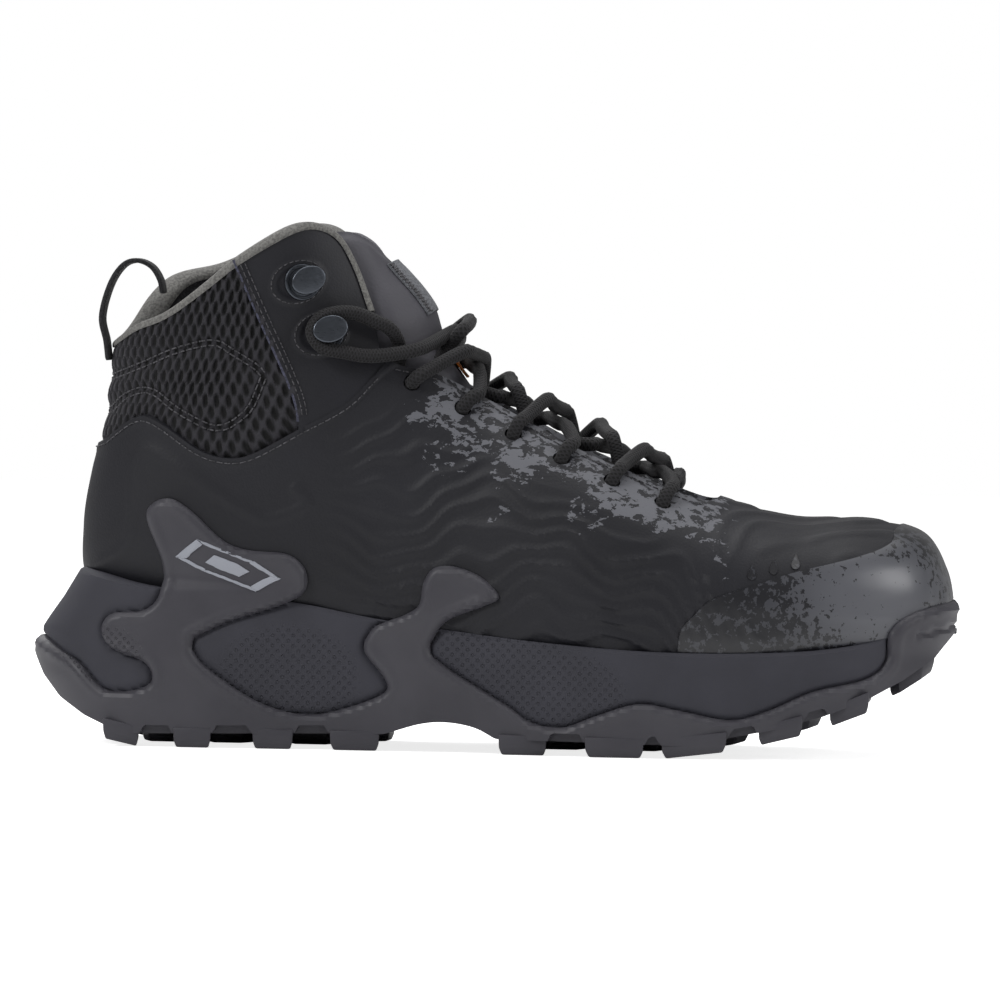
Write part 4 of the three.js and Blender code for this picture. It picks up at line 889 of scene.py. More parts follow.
def build_collar_mesh():
    """The collar's knitted mesh, with its holes and its quilted pads pressed into the front."""
    sizes = bpy.context.scene.boot_sizes
    rows, turns = spread(11.2, 19.6, -1.5 * math.pi - 0.4, 0.5 * math.pi - 0.7, 0.85, 0.8)
    collar = Sheet(form, rows, turns)
    collar.trim(
        lambda p: over(p, WAVE) + 1.5,
        lambda p: inside(p[:, [0, 2]], BEHIND_HOOK_SEAM) + 1.5,
        lambda p: -opening(p) - 1.0,
    )
    # the holes' mask, which the mesh material paints near-black as painted shade
    collar.paint("hole", lambda p: mesh_holes(p, collar.numbers(collar.bm.verts)[1]))
    front = collar.wall(0.0, 1.9)
    u, t = collar.numbers(front)
    base = form(u, t)
    hole = mesh_holes(base, t)
    pad = quilt(base)
    depth = 1.3 - sizes.puff * pad + 1.2 * hole * (0.4 + 0.6 * pad)
    for v, co in zip(front, form(u, t, depth)):
        v.co = co
    return collar.finish("collar_mesh_cover", material("mesh"))


def build_hook_panel(hand):
    """The smooth panel that carries one side's hooks, with a raised oval round each of them."""
    low, high = (-0.5, 1.5) if hand == OUTER else (math.pi - 1.5, math.pi + 0.5)
    rows, turns = spread(9.5, 19.8, low, high, 1.0)
    panel = Sheet(form, rows, turns)
    panel.trim(
        lambda p: over(p, WAVE) + 1.5,
        lambda p: -inside(p[:, [0, 2]], BEHIND_HOOK_SEAM),
        lambda p: -opening(p) - 0.8,
    )
    a = math.radians(19.95)  # the ovals' lean

    def depth(p):
        xz = p[:, [0, 2]]
        raised = np.zeros(len(p))
        for x, z, _ in HOOKS.values():
            dx, dz = xz[:, 0] - x + 1.5, xz[:, 1] - z
            along, across = dx * math.cos(a) + dz * math.sin(a), dz * math.cos(a) - dx * math.sin(a)
            oval = np.hypot(along / 9.2, across / 7.2)
            raised = np.maximum(raised, 0.45 * (1 - step(np.abs(oval - 0.86), 0.08, 0.2)))
        hem = 0.35 * (1 - step(-inside(xz, BEHIND_HOOK_SEAM), 2.2, 3.4))
        return 0.35 - raised - hem - 0.5 * np.clip(-opening(p) / 12, 0, 1)

    panel.wall(depth, 1.8)
    return panel.finish(f"hook_panel_cover_{WORDS[hand]}", material("panel"))


def rim_path():
    """The collar's edge in 3-D, from the outer front over the heel to the inner front: points and normals."""
    outer = even(RIM_OUTER[::-1], step=1.0)
    inner = even(RIM_INNER, step=1.0)
    outer, inner = outer[outer[:, 0] > -117], inner[inner[:, 0] > -113]
    uo, to = locate(outer[:, 0], outer[:, 1], OUTER)
    ui, ti = locate(inner[:, 0], inner[:, 1], INNER)
    ti = ti - 2 * math.pi
    t = np.linspace(to[-1], ti[0], 90)[1:-1]
    low, high = np.full(len(t), 12.0), np.full(len(t), 19.9)
    for _ in range(30):
        middle = (low + high) / 2
        out = opening(form(middle, t)) > 0
        low, high = np.where(out, low, middle), np.where(out, middle, high)
    u, t = np.concatenate([uo, low, ui]), np.concatenate([to, t, ti])
    path = form(u, t)
    kernel = np.ones(7) / 7
    for _ in range(2):
        padded = np.vstack([np.repeat(path[:1], 3, 0), path, np.repeat(path[-1:], 3, 0)])
        path = np.stack([np.convolve(padded[:, k], kernel, "valid") for k in range(3)], axis=1)
    return path, normal(u, t)


def build_binding():
    """The knitted tape that is folded over the collar's edge."""
    path, out = rim_path()
    along = np.gradient(path, axis=0)
    along /= np.linalg.norm(along, axis=1, keepdims=True)
    out -= along * (out * along).sum(1, keepdims=True)
    out /= np.linalg.norm(out, axis=1, keepdims=True)
    down = np.cross(along, out)
    down *= np.where(down[:, 2:3] > 0, -1, 1)
    section = smooth([
        (-0.2, 2.9), (-0.55, 2.2), (-0.5, 1.2), (0.6, 0.3), (2.4, -0.05), (4.2, -0.1), (6.2, 0.25),
        (7.7, 1.1), (8.3, 2.2), (8.2, 3.6), (7.4, 3.6), (6.6, 1.8), (4.2, 1.1), (1.8, 1.2), (0.6, 2.4),
    ], 2, closed=True)
    bm = bmesh.new()
    sweep(bm, [[p - n * d + w * h for d, h in section] for p, n, w in zip(path, out, down)])
    return finish(bm, "collar_binding_tape", material("binding"))


def build_collar_padding():
    """The soft padding inside the collar, crowned between its edges."""
    rows, turns = spread(10.5, 19.8, -1.5 * math.pi - 0.9, 0.5 * math.pi - 0.2, 1.6)
    pad = Sheet(form, rows, turns)
    pad.trim(lambda p: over(p, WAVE) - 0.6, lambda p: -opening(p) - 2.4)

    def crowned(p):
        edge = np.minimum(over(p, WAVE), -opening(p) - 2.0)
        return 6.6 + 1.9 * (1 - np.exp(-np.maximum(edge, 0) / 5))

    pad.wall(2.2, crowned)
    return pad.finish("collar_padding", material("lining"))


# ---------- The tongue ----------
TONGUE_TOP = smooth([
    [-61, 165.5], [-58, 168.8], [-54, 171.2], [-47, 171.4], [-41, 168.9], [-37, 165.5], [-30, 160],
])
TONGUE_SIDE = smooth([
    [-61, 165.5], [-58, 160], [-54, 148], [-46, 135], [-38, 122], [-22, 112], [0, 102], [22, 92], [46, 82],
    [62, 75], [76, 70],
])


def build_tongue():
    """The padded tongue: pressed under the lacing, loose and full above it."""
    rows, turns = spread(4.9, 19.9, 0.25, math.pi - 0.25, 1.3)
    tongue = Sheet(form, rows, turns)
    outline = np.vstack([TONGUE_TOP, [[96, 150], [78, 92]], TONGUE_SIDE[::-1]])

    def free(p):
        """From 0 where the lacing holds the tongue to 1 where its top is loose."""
        return step(p[:, 2] - (131 + (p[:, 0] + 60) * 0.19), -9, 7)

    tongue.trim(lambda p: inside(p[:, [0, 2]], outline))

    def face(p):
        edge = opening(p)
        pressed = 8.9 - 4.6 * step(edge, -1, 8)
        rolled = 2.4 * (1 - step(inside(p[:, [0, 2]], outline), 0, 4))
        loose = 0.7 + 3.2 * (1 - step(edge, -1.5, 6)) + rolled
        loose = np.where(edge < 0.5, np.maximum(loose, 4 + 5.0 * step(-edge, -0.5, 1.5)), loose)
        return pressed * (1 - free(p)) + loose * free(p)

    def back(p):
        return face(p) + 0.4 + (11.6 - face(p) - 0.4) * (1 - free(p)) + free(p) * np.minimum(
            1.2 + 1.5 * np.maximum(inside(p[:, [0, 2]], outline), 0), 6.2)

    tongue.wall(face, back)
    piece = tongue.finish("tongue_pad", material("tongue"))
    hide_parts("tongue_top", "tongue_lower")
    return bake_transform(piece)


# ---------- The sole ----------
SOLE = [
    [-153.1, 0], [-147, -22], [-128, -37], [-95, -41], [-55, -39.5], [-15, -43], [20, -51.5], [45, -55],
    [75, -53.5], [104, -48.5], [126, -39.5], [143, -24], [150.5, -7],
    [152.6, 9], [149, 23.5], [139, 36], [120, 45], [90, 51.5], [65, 52], [35, 48.5], [0, 40], [-40, 36.5],
    [-80, 38], [-115, 39], [-140, 30],
]
SOLE_LEVELS = np.array([
    [-2, 11, 0, 0], [12, 6.5, 0, 0], [22, 1.5, 0, 0], [30, 0, 0, 0], [38, 1, 0, 0.6],
    [48, 7, 0.4, 1.8], [62, 13.5, 3, 3.6], [90, 20, 6, 9],
])
RING_STEPS = 720
RING = even(np.vstack([smooth(SOLE, 12, closed=True), SOLE[:1]]), count=RING_STEPS)
RING_ALONG = np.gradient(np.vstack([RING[-2:-1], RING, RING[1:2]]), axis=0)[1:-1]
RING_NORMAL = np.stack([RING_ALONG[:, 1], -RING_ALONG[:, 0]], axis=1)
RING_NORMAL /= np.linalg.norm(RING_NORMAL, axis=1, keepdims=True)


def ring_at(s):
    """Plan point and outward direction at a share s of the way round the sole."""
    at = np.clip(s, 0, 1) * RING_STEPS

    def pick(table):
        return np.stack([np.interp(at, np.arange(RING_STEPS + 1), table[:, k]) for k in range(2)], axis=-1)

    n = pick(RING_NORMAL)
    return pick(RING), n / np.linalg.norm(n, axis=-1, keepdims=True)


def sole_wall(s, z, depth=0.0):
    """The sole block's wall, drawn in at the heel and toe as it rises."""
    p, n = ring_at(s)
    heel, toe, edge = (np.interp(z, SOLE_LEVELS[:, 0], SOLE_LEVELS[:, k]) for k in (1, 2, 3))
    rear = np.clip((-100 - p[..., 0]) / 53, 0, 1) ** 1.5
    front = np.clip((p[..., 0] - 110) / 42, 0, 1) ** 1.5
    x = p[..., 0] + heel * rear - toe * front - n[..., 0] * (edge + depth)
    y = p[..., 1] - n[..., 1] * (edge + depth)
    return np.stack([x, y, z + 0 * x], axis=-1)


def form_tree(depth):
    """The form at a depth, as something rays can meet."""
    rows, turns = spread(0.02, 19.5, -math.pi / 2, 1.5 * math.pi, 3.0)
    sheet = Sheet(lambda u, t, d: form(u, t, d + depth), rows, turns)
    tree = BVHTree.FromBMesh(sheet.bm)
    sheet.bm.free()
    return tree


REACH_ROUND, REACH_UP = 360, 60  # steps of the reach table, round the sole and up it
REACH_TOP = 90  # height of its last step
NO_REACH = -25.0  # what it holds where the form isn't met
RAY_START, RAY_LENGTH = 30, 55


def reach_table(depth):
    """How far the form stands outside the sole's wall: the heights, and a row for each step round."""
    tree = form_tree(depth)
    s, z = np.linspace(0, 1, REACH_ROUND + 1), np.linspace(0, REACH_TOP, REACH_UP + 1)
    table = np.full((REACH_ROUND + 1, REACH_UP + 1), NO_REACH)
    outwards = ring_at(s)[1]
    for j, level in enumerate(z):
        wall = sole_wall(s, np.full(REACH_ROUND + 1, level))
        for i, n in enumerate(outwards):
            out = Vector((*n, 0))
            hit = tree.ray_cast(Vector(wall[i]) + out * RAY_START, -out, RAY_LENGTH)
            if hit[0]:
                table[i, j] = RAY_START - hit[3]
    return z, table


def cup_surface(fin):
    """The rubber's outer face: the sole's wall, and over it the fins that lie on the upper."""
    table = reach_table(-fin)[1]

    def reach(s, z):
        i, j = np.clip(s, 0, 1) * REACH_ROUND, np.clip(z / REACH_TOP, 0, 1) * REACH_UP
        i0, j0 = np.minimum(i.astype(int), REACH_ROUND - 1), np.minimum(j.astype(int), REACH_UP - 1)
        fi, fj = i - i0, j - j0
        return ((table[i0, j0] * (1 - fi) + table[i0 + 1, j0] * fi) * (1 - fj)
                + (table[i0, j0 + 1] * (1 - fi) + table[i0 + 1, j0 + 1] * fi) * fj)

    def surface(s, z, depth=0.0):
        n = ring_at(s)[1]
        wall = sole_wall(s, z)
        base = -np.maximum(z - 52, 0) * 0.9
        out = reach(s, z)
        soft = 3.0
        d = np.maximum(base, out) + soft * np.exp(-np.abs(out - base) / soft * 1.4) * 0.35
        shift = d - depth
        return wall + np.stack([n[..., 0] * shift, n[..., 1] * shift, 0 * z], axis=-1)

    return surface


SOLE_GIRTH = 830  # about the length of the sole's edge


def sole_grid(z_from, z_to, size):
    """Shares round the sole and heights up it, about one size apart."""
    around = int(SOLE_GIRTH / size)
    up = int((z_to - z_from) / size)
    z = np.linspace(z_from, z_to, up + 1)
    s = np.linspace(0, 1, around + 1)
    return s, np.tile(z, (around + 1, 1))


BUMPER_SLOT = np.array([[140.5, 40.6], [158, 44.6]])


def cage_depth(points):
    """The rubber's edge rolls over towards the foam, with a raised bead inside it and a slot at the toe."""
    edge = inside(points[:, [0, 2]], CAGE)
    roll = 1.6 * (1 - np.sqrt(np.clip(1 - (1 - np.clip(edge / 1.7, 0, 1)) ** 2, 0, 1)))
    bead = 0.55 * np.exp(-((edge - 2.3) / 1.1) ** 2)
    slot = 0.9 * (1 - step(segments(points[:, [0, 2]], BUMPER_SLOT), 0.5, 1.1))
    return roll - bead + slot


def notch(x):
    """How far the wall's lower edge is cut up between the side lugs."""
    gap = np.min([np.maximum(start - x, x - end) for start, end in SIDE_LUGS], axis=0)
    return 2.8 * step(gap, 0.1, 1.9) * (((x > -125) & (x < -37)) | ((x > 4) & (x < 124)))


def lug_outline(start, end, hand):
    """A side lug's outline seen from below, narrowing towards the middle."""
    middle = (start + end) / 2
    near = RING[np.sign(RING[:, 1]) == hand]
    edge = near[np.abs(near[:, 0] - middle).argmin(), 1]
    root = edge - hand * 17
    return [
        (start, edge + hand * 0.4), (end, edge + hand * 0.4), (end - 1, root + hand * 5),
        (middle + 2, root), (start + 2, root + hand * 3),
    ]


def chevron(start, end, y, reach):
    """A middle lug's outline seen from below, which points forwards."""
    return [
        (start + 3, y - reach), (end + 1, y - reach), (end + 5, y),
        (end + 1, y + reach), (start + 3, y + reach), (start, y),
    ]


# where each lug starts and ends along the boot
SIDE_LUGS = [
    (-127, -115), (-103.5, -91), (-77.5, -64), (-52, -35.5), (4, 20), (32.5, 52), (57.5, 79), (89, 103.5),
    (112, 125),
]
MIDDLE_LUGS = [(-118, -106), (-97, -84), (-70, -56), (12, 28), (38, 54), (64, 80), (90, 104)]


def lug_block(bm, outline, hand=0):
    """A lug: a block drawn in towards the ground, with its edges rounded."""
    outline = np.array(outline)
    middle = np.mean(outline, axis=0)
    rings = []
    for rise, draw in ((6.5, 1.0), (2.2, 0.97), (0.0, 0.86)):
        ring = middle + (outline - middle) * draw
        edge = (np.abs(outline[:, 1]) > abs(middle[1])) & (hand != 0)
        ring[:, 1] = np.where(edge, outline[:, 1] - hand * (1 - draw) * 6, ring[:, 1])
        ground = np.interp(ring[:, 0], GROUND[:, 0], GROUND[:, 1]) + rise
        rings.append(np.column_stack([ring, ground]))
    lug = bmesh.new()
    sweep(lug, rings)
    edges = list(lug.edges)
    bmesh.ops.bevel(lug, geom=edges, offset=0.5, segments=2, profile=0.5, affect="EDGES", material=-1)
    join(bm, lug)


def build_outsole():
    """The rubber: its cupped wall with the fins, the plate under the foam and the lugs."""
    sizes = bpy.context.scene.boot_sizes
    s, z = sole_grid(2, 84, 1.25)
    cup = Sheet(cup_surface(sizes.fin), s, z)
    cup.trim(lambda p: inside(p[:, [0, 2]], CAGE), lambda p: over(p, PLATE_UNDER) - notch(p[:, 0]))
    cup.wall(cage_depth, 2.6)
    bmesh.ops.remove_doubles(cup.bm, verts=cup.bm.verts, dist=0.02)
    bm = cup.bm
    # the plate under the foam, between the walls
    plate_s, plate_r = np.linspace(0, 1, 241), np.tile(np.linspace(0.0, 0.94, 15), (241, 1))

    def plate(s, r, depth=0.0):
        p = ring_at(s)[0]
        core = np.stack([np.clip(p[..., 0], -118, 116), 0 * p[..., 1]], axis=-1)
        flat = core + (p - core) * r[..., None]
        under = np.interp(flat[..., 0], PLATE_UNDER[:, 0], PLATE_UNDER[:, 1])
        wall = sole_wall(s, under)
        flat = flat + (wall[..., :2] - p) * r[..., None]
        return np.stack([flat[..., 0], flat[..., 1], under + depth], axis=-1)

    bottom = Sheet(plate, plate_s, plate_r)
    bottom.wall(0.0, 3.4)
    bmesh.ops.remove_doubles(bottom.bm, verts=bottom.bm.verts, dist=0.02)
    bmesh.ops.recalc_face_normals(bottom.bm, faces=bottom.bm.faces)
    join(bm, bottom.bm)
    lugs = bmesh.new()
    for hand in (OUTER, INNER):
        for start, end in SIDE_LUGS:
            lug_block(lugs, lug_outline(start, end, hand), hand)
    for start, end in MIDDLE_LUGS:
        lug_block(lugs, chevron(start, end, 1, 11 if start > 0 else 8))
    for y in (-9, 12):
        lug_block(lugs, chevron(131, 141, y, 7))
    bmesh.ops.recalc_face_normals(lugs, faces=lugs.faces)
    join(bm, lugs)
    dimples = bm.verts.layers.float.new("dimpled")
    points = np.array([v.co for v in bm.verts])
    for v, x in zip(bm.verts, pod_cover(points, (-128, 30, 15))):
        v[dimples] = float(x)
    return finish(bm, "rubber_outsole", material("rubber"), 30)


def pod_cover(points, *pods):
    """How much of the crater texture shows, in round pods given by x, z and radius."""
    xz = points[:, [0, 2]]
    cover = np.zeros(len(points))
    for x, z, r in pods:
        cover = np.maximum(cover, 1 - step(np.hypot(xz[:, 0] - x, (xz[:, 1] - z) * 1.4), r * 0.75, r))
    return cover


def join(bm, other):
    """Adds another bmesh's mesh to this one."""
    mesh = bpy.data.meshes.new("joined")
    other.to_mesh(mesh)
    other.free()
    bm.from_mesh(mesh)
    bpy.data.meshes.remove(mesh)


def build_midsole():
    """The foam: a ring of sections round the sole, from the plate up to the upper."""
    heights, table = reach_table(-0.2)
    count = 900
    s = np.linspace(0, 1, count + 1)
    p = ring_at(s)[0]
    bm = bmesh.new()
    rings = []
    bottom = np.interp(p[:, 0], PLATE_UNDER[:, 0], PLATE_UNDER[:, 1]) + 3.2
    wall_x = sole_wall(s, np.full(count + 1, 44.0))[:, 0]
    top = np.interp(wall_x, FEATHER[:, 0], FEATHER[:, 1])
    for k in range(count):
        row = table[int(round(s[k] * REACH_ROUND))]
        levels = np.linspace(bottom[k], top[k] - 1.2, 34)
        plain = np.array([sole_wall(s[k], z) for z in levels])
        away = -inside(plain[:, [0, 2]], CAGE)
        depth = 1.7 + 1.1 * np.exp(-((away - 0.1) / 0.75) ** 2) - 1.0 * (1 - np.exp(-np.maximum(away, 0) / 5))
        ring = [sole_wall(s[k], z, d) for z, d in zip(levels, depth)]
        inner = min(max(-np.interp(top[k], heights, row), 2.2), 24)
        for f, drop in ((0.06, 0.5), (0.2, 0.12), (0.5, 0.0), (0.8, 0.1), (1.0, 0.3)):
            ring.append(sole_wall(s[k], top[k] - drop, 1.5 + (inner - 1.5) * f))
        for f in (0.7, 0.35, 0.0):
            z = bottom[k] + (top[k] - bottom[k]) * f
            ring.append(sole_wall(s[k], z, min(max(-np.interp(z, heights, row), 3.5), 22)))
        rings.append(ring)
    sweep(bm, rings, closed=True)
    layer = bm.verts.layers.float.new("dimpled")
    points = np.array([v.co for v in bm.verts])
    for v, x in zip(bm.verts, pod_cover(points, (-66, 24, 26), (4, 32, 24), (26, 20, 22))):
        v[layer] = float(x)
    return finish(bm, "foam_midsole", material("foam"))


# ---------- The toe ----------
def build_toe_film():
    """The glossy film that is welded over the toe."""
    rows, turns = spread(0.02, 6.6, -1.1, math.pi + 1.1, 1.1)
    film = Sheet(form, rows, turns)
    ahead = np.vstack([FILM_EDGE, [[62, -50], [400, -50], [400, 80]]])
    film.trim(
        lambda p: inside(p[:, [0, 2]], ahead),
        lambda p: over(p, FEATHER) - 0.4,
    )
    film.wall(lambda p: -0.75 - 0.1 * ridges(p), 0.4)
    # the mask is a round painted highlight at the toe's front, which also thins the printed flecks there
    film.paint("printed", lambda p: np.clip(
        1.1 - step(np.hypot((p[:, 0] - 126) / 1.5, p[:, 2] - 54), 3, 27), 0, 1))
    return film.finish("toe_guard_film", material("film"))


def build_drops():
    """Three small raised drops on each side of the toe."""
    bm = bmesh.new()
    outline = smooth([
        (0, 3.0), (0.9, 1.2), (1.5, -0.3), (1.2, -1.5), (0, -2.1), (-1.2, -1.5), (-1.5, -0.3), (-0.9, 1.2),
    ], 3, closed=True)
    for hand in (OUTER, INNER):
        for x, z in ((86, 60.6), (93, 62.3), (100, 64)):
            raise_shape(bm, outline * 0.95 + [x, z], hand, -0.3, 0.3, edge=0.1)
    return finish(bm, "toe_drops", material("film"))


def raise_shape(bm, outline, hand, low, high, surface=None, edge=0.22):
    """A flat shape laid over the form, standing from one height to another, with its upper edge drawn in."""
    surface = surface or (lambda xz, h: skin(xz[:, 0], xz[:, 1], hand, np.full(len(xz), h)))
    along = np.roll(outline, -1, axis=0) - np.roll(outline, 1, axis=0)
    inward = np.stack([-along[:, 1], along[:, 0]], axis=1) / np.linalg.norm(along, axis=1, keepdims=True)
    wound = np.sum(outline[:, 0] * np.roll(outline[:, 1], -1) - outline[:, 1] * np.roll(outline[:, 0], -1))
    drawn = outline + inward * np.sign(wound) * edge
    sweep(bm, [surface(outline, low), surface(outline, high), surface(drawn, high + 0.12)])


# ---------- Hardware ----------
def build_hook(level, hand):
    """One lace hook: a washer, a riveted foot and a stem under a domed plate that leans forward."""
    x, z, tilt = HOOKS[level]
    point, n = (a[0] for a in on_skin(np.array([[x, z]]), hand))
    lean = math.radians(tilt)
    along = np.array([math.cos(lean), 0, math.sin(lean)])
    along -= n * (along @ n)
    along /= np.linalg.norm(along)
    turn = Matrix(np.stack([along, np.cross(n, along), n], axis=1).tolist()).to_4x4()
    turn.translation = Vector(point)
    bm = bmesh.new()

    def disc(radius, low, high, stretch=1.0, shift=0.0):
        """A round or oval plate between two heights, with its upper rim rounded."""
        made = bmesh.ops.create_circle(bm, cap_ends=True, radius=radius, segments=36)
        bmesh.ops.scale(bm, vec=(stretch, 1, 1), verts=made["verts"])
        bmesh.ops.translate(bm, vec=(shift, 0, low), verts=made["verts"])
        face = made["verts"][0].link_faces[0]
        up = bmesh.ops.extrude_face_region(bm, geom=[face])
        top = [v for v in up["geom"] if isinstance(v, bmesh.types.BMVert)]
        bmesh.ops.translate(bm, vec=(0, 0, high - low), verts=top)
        rim = [e for e in bm.edges if all(v in top for v in e.verts) and len(e.link_faces) == 2]
        round_off = min(0.5, (high - low) * 0.45)
        bmesh.ops.bevel(
            bm, geom=rim, offset=round_off, segments=3, profile=0.5, affect="EDGES", material=-1)

    disc(6.0, 0.3, 1.1)
    disc(3.8, 1.1, 2.0)
    disc(2.1, 1.8, 7.4)
    disc(4.5, 6.4, 8.1, 1.32, 0.6)
    # the washer's raised bead
    bead = np.linspace(0, 2 * math.pi, 6, endpoint=False)
    reach, rise = 5.1 + 0.5 * np.cos(bead), 1.15 + 0.5 * np.sin(bead)
    sweep(bm, [
        np.column_stack([reach * math.cos(a), reach * math.sin(a), rise])
        for a in np.linspace(0, 2 * math.pi, 36, endpoint=False)
    ], closed=True)
    bmesh.ops.recalc_face_normals(bm, faces=bm.faces)
    bmesh.ops.transform(bm, matrix=turn, verts=bm.verts)
    word = WORDS[hand]
    piece = finish(bm, f"lace_hook_{level}_{word}", material("metal"), 50)
    return settle(piece, "boot", "gunmetal", f"hook_{level}_{word}", f"hook_washer_{level}_{word}")


# ---------- Lace ----------
# Heights of the lace's middle over the form.
UNDER = -5.7  # behind the eyestay
LOW, HIGH = 0.0, 4.5  # over the throat, for the first and the second run
OVER_EDGE = 3.1  # on the eyestay
HOOKED = 4.6  # round a hook's stem


def across_throat(start, end, hand, share, height):
    """A point on the way over the throat, on the skin's own ellipse between two places."""
    (u0, t0), (u1, t1) = locate(*start, hand), locate(*end, -hand)
    a0, a1 = squared(u0, t0), squared(u1, t1)
    u, a = u0 + (u1 - u0) * share, a0 + (a1 - a0) * share
    n = station(u)[..., 9]
    t = np.arctan2(np.abs(np.sin(a)) ** (2 / n), np.sign(np.cos(a)) * np.abs(np.cos(a)) ** (2 / n))
    return form(u, t) + normal(u, t) * height


def squared(u, t):
    """The angle on the form's squared section as the angle on a plain ellipse."""
    n = station(u)[..., 9]
    return np.arctan2(np.abs(np.sin(t)) ** (n / 2), np.sign(np.cos(t)) * np.abs(np.cos(t)) ** (n / 2))


def through_eyelet(k, hand):
    """The way over the eyestay's edge, down an eyelet and back behind it to the throat."""
    def at(share, height):
        x, z = EYELETS[k] + (EYESTAY_EDGE[k] - EYELETS[k]) * share
        return skin(x, z, hand, height)
    return [
        at(0.8, OVER_EDGE), at(0.35, OVER_EDGE), at(0.02, 0.0), at(0.0, UNDER + 1.6),
        at(0.35, UNDER - 0.8), at(0.9, UNDER - 0.8),
        across_throat(EYESTAY_EDGE[k], EYESTAY_EDGE[k], hand, 0.275, UNDER + 2.2),
    ]


def over_tongue(start, end, hand, height):
    """The way over the tongue from one side to the other."""
    return [across_throat(start, end, hand, share, height + lift)
            for share, lift in ((0.33, -0.4), (0.42, 0.1), (0.5, 0), (0.63, 0.6), (0.78, 2.2))]


def round_hook(hand):
    """The way round the lower hook and back."""
    x, z, _ = HOOKS["lower"]
    return [skin(x + dx, z + dz, hand, HOOKED) for dx, dz in (
        (30, -6.4), (22, -7.6), (13, -8), (5, -6.4), (-1.5, -5), (-4.9, 0), (-2.4, 4.6), (3, 6), (9, 5.4),
        (15, 3))]


def tucked_end(hand):
    """The lace's end, tucked down behind the tongue's edge."""
    return [skin(x, z, hand, h) for x, z, h in (
        (-36.4, 137.4, 4), (-32.6, 133.8, 0.6), (-31, 129.4, -4), (-32.6, 122, -8.2), (-34.5, 115, -8.6),
        (-36, 109, -9.2))]


def lace_route():
    """The whole lace: down one set of eyelets, back up the other, and round both lower hooks."""
    edge = (HOOKS["lower"][0] + 32, HOOKS["lower"][1] - 5)
    route = tucked_end(OUTER)[::-1] + round_hook(OUTER)[::-1]
    route += over_tongue(edge, EYESTAY_EDGE[0], OUTER, LOW + 2) + through_eyelet(0, INNER)
    hand = INNER
    last = len(EYELETS) - 1
    order = [(k - 1, k, LOW) for k in range(1, last + 1)] + [(last, last, LOW + 0.6)]
    order += [(k + 1, k, HIGH) for k in range(last - 1, -1, -1)]
    for start, end, height in order:
        route += over_tongue(EYESTAY_EDGE[start], EYESTAY_EDGE[end], hand, height)
        hand = -hand
        route += through_eyelet(end, hand)
    route += over_tongue(EYESTAY_EDGE[0], edge, hand, HIGH + 2)
    return np.array(route + round_hook(INNER) + tucked_end(INNER))


def build_lace():
    """The braided lace and the tips on its two ends."""
    sizes = bpy.context.scene.boot_sizes
    path = even(smooth(lace_route(), 10), step=0.9)
    bm = bmesh.new()
    # grooves along the lace, as a round braid has between its strands
    lobes = np.where(np.arange(16) % 4 == 0, 0.88, 1.0)
    long = np.linalg.norm(np.diff(path, axis=0), axis=1).sum()
    tube(bm, path, sizes.lace / 2, 16, lobes=lobes, length=float(long))
    settle(finish(bm, "boot_lace", material("braid"), 80), "boot", "braid", "lace")
    for word, tip, back in (("lateral", path[0], path[1]), ("medial", path[-1], path[-2])):
        out = (tip - back) / np.linalg.norm(tip - back)
        bm = bmesh.new()
        tube(bm, [tip + out * d for d in (0.3, 0.8, 11, 21.5, 22.2)], [1.1, 1.5, 1.5, 1.45, 1.0], 12)
        settle(finish(bm, f"lace_tip_{word}", material("tip")), "boot", "clear_tip", f"aglet_{word}")


# ---------- Pull loop, labels and stitching ----------
LOOP = [
    [-130.2, 126.5], [-131, 133], [-132.6, 141], [-130, 151.5], [-126, 158], [-121.5, 159.8],
    [-116.8, 158], [-113.8, 153.6], [-112.8, 149],
]


def build_pull_loop():
    """The webbing loop at the heel, with its two edges a little thicker than its middle."""
    middle = even(smooth(LOOP, 10), step=0.9)
    bm = bmesh.new()
    tangent = np.gradient(middle, axis=0)
    tangent /= np.linalg.norm(tangent, axis=1, keepdims=True)
    section = [
        (-6.5, 0.0), (-6.3, 0.6), (-5.2, 0.85), (-2, 0.8), (0, 0.85), (2, 0.8), (5.2, 0.85), (6.3, 0.6),
        (6.5, 0.0), (6.3, -0.6), (5.2, -0.85), (2, -0.8), (0, -0.85), (-2, -0.8), (-5.2, -0.85), (-6.3, -0.6),
    ]
    rings = []
    for k, ((x, z), (tx, tz)) in enumerate(zip(middle, tangent)):
        share = np.clip((x + 131) / 15, 0, 1)
        y = -3 + 4.5 * share
        tall = 0.95 if 0 < k < len(middle) - 1 else 0.6
        rings.append([(x - tz * h * tall, y + w, z + tx * h * tall) for w, h in section])
    sweep(bm, rings)
    return settle(finish(bm, "heel_pull_loop", material("webbing"), 50), "loop", "webbing", "pull_loop")


def sew(bm, points, normals, size, gap=0.9, thick=0.42, height=0.1):
    """A row of stitches: short rounded threads along a run, each dipping into the cloth at its ends."""
    run = even(np.hstack([points, normals]), step=size + gap)
    for a, b in zip(run[:-1], run[1:]):
        start, end = a[:3], a[:3] + (b[:3] - a[:3]) * size / (size + gap)
        n = a[3:] / np.linalg.norm(a[3:])
        crown = (start + end) / 2 + n * (height + 0.14)
        path = [start - n * 0.3, start + n * height, crown, end + n * height, end - n * 0.3]
        tube(bm, path, thick / 2, 6, up=n)


def shifted(line, distance):
    """A side-view run moved sideways by a distance."""
    d = np.gradient(line, axis=0)
    d /= np.linalg.norm(d, axis=1, keepdims=True)
    return line + np.stack([-d[:, 1], d[:, 0]], axis=1) * distance


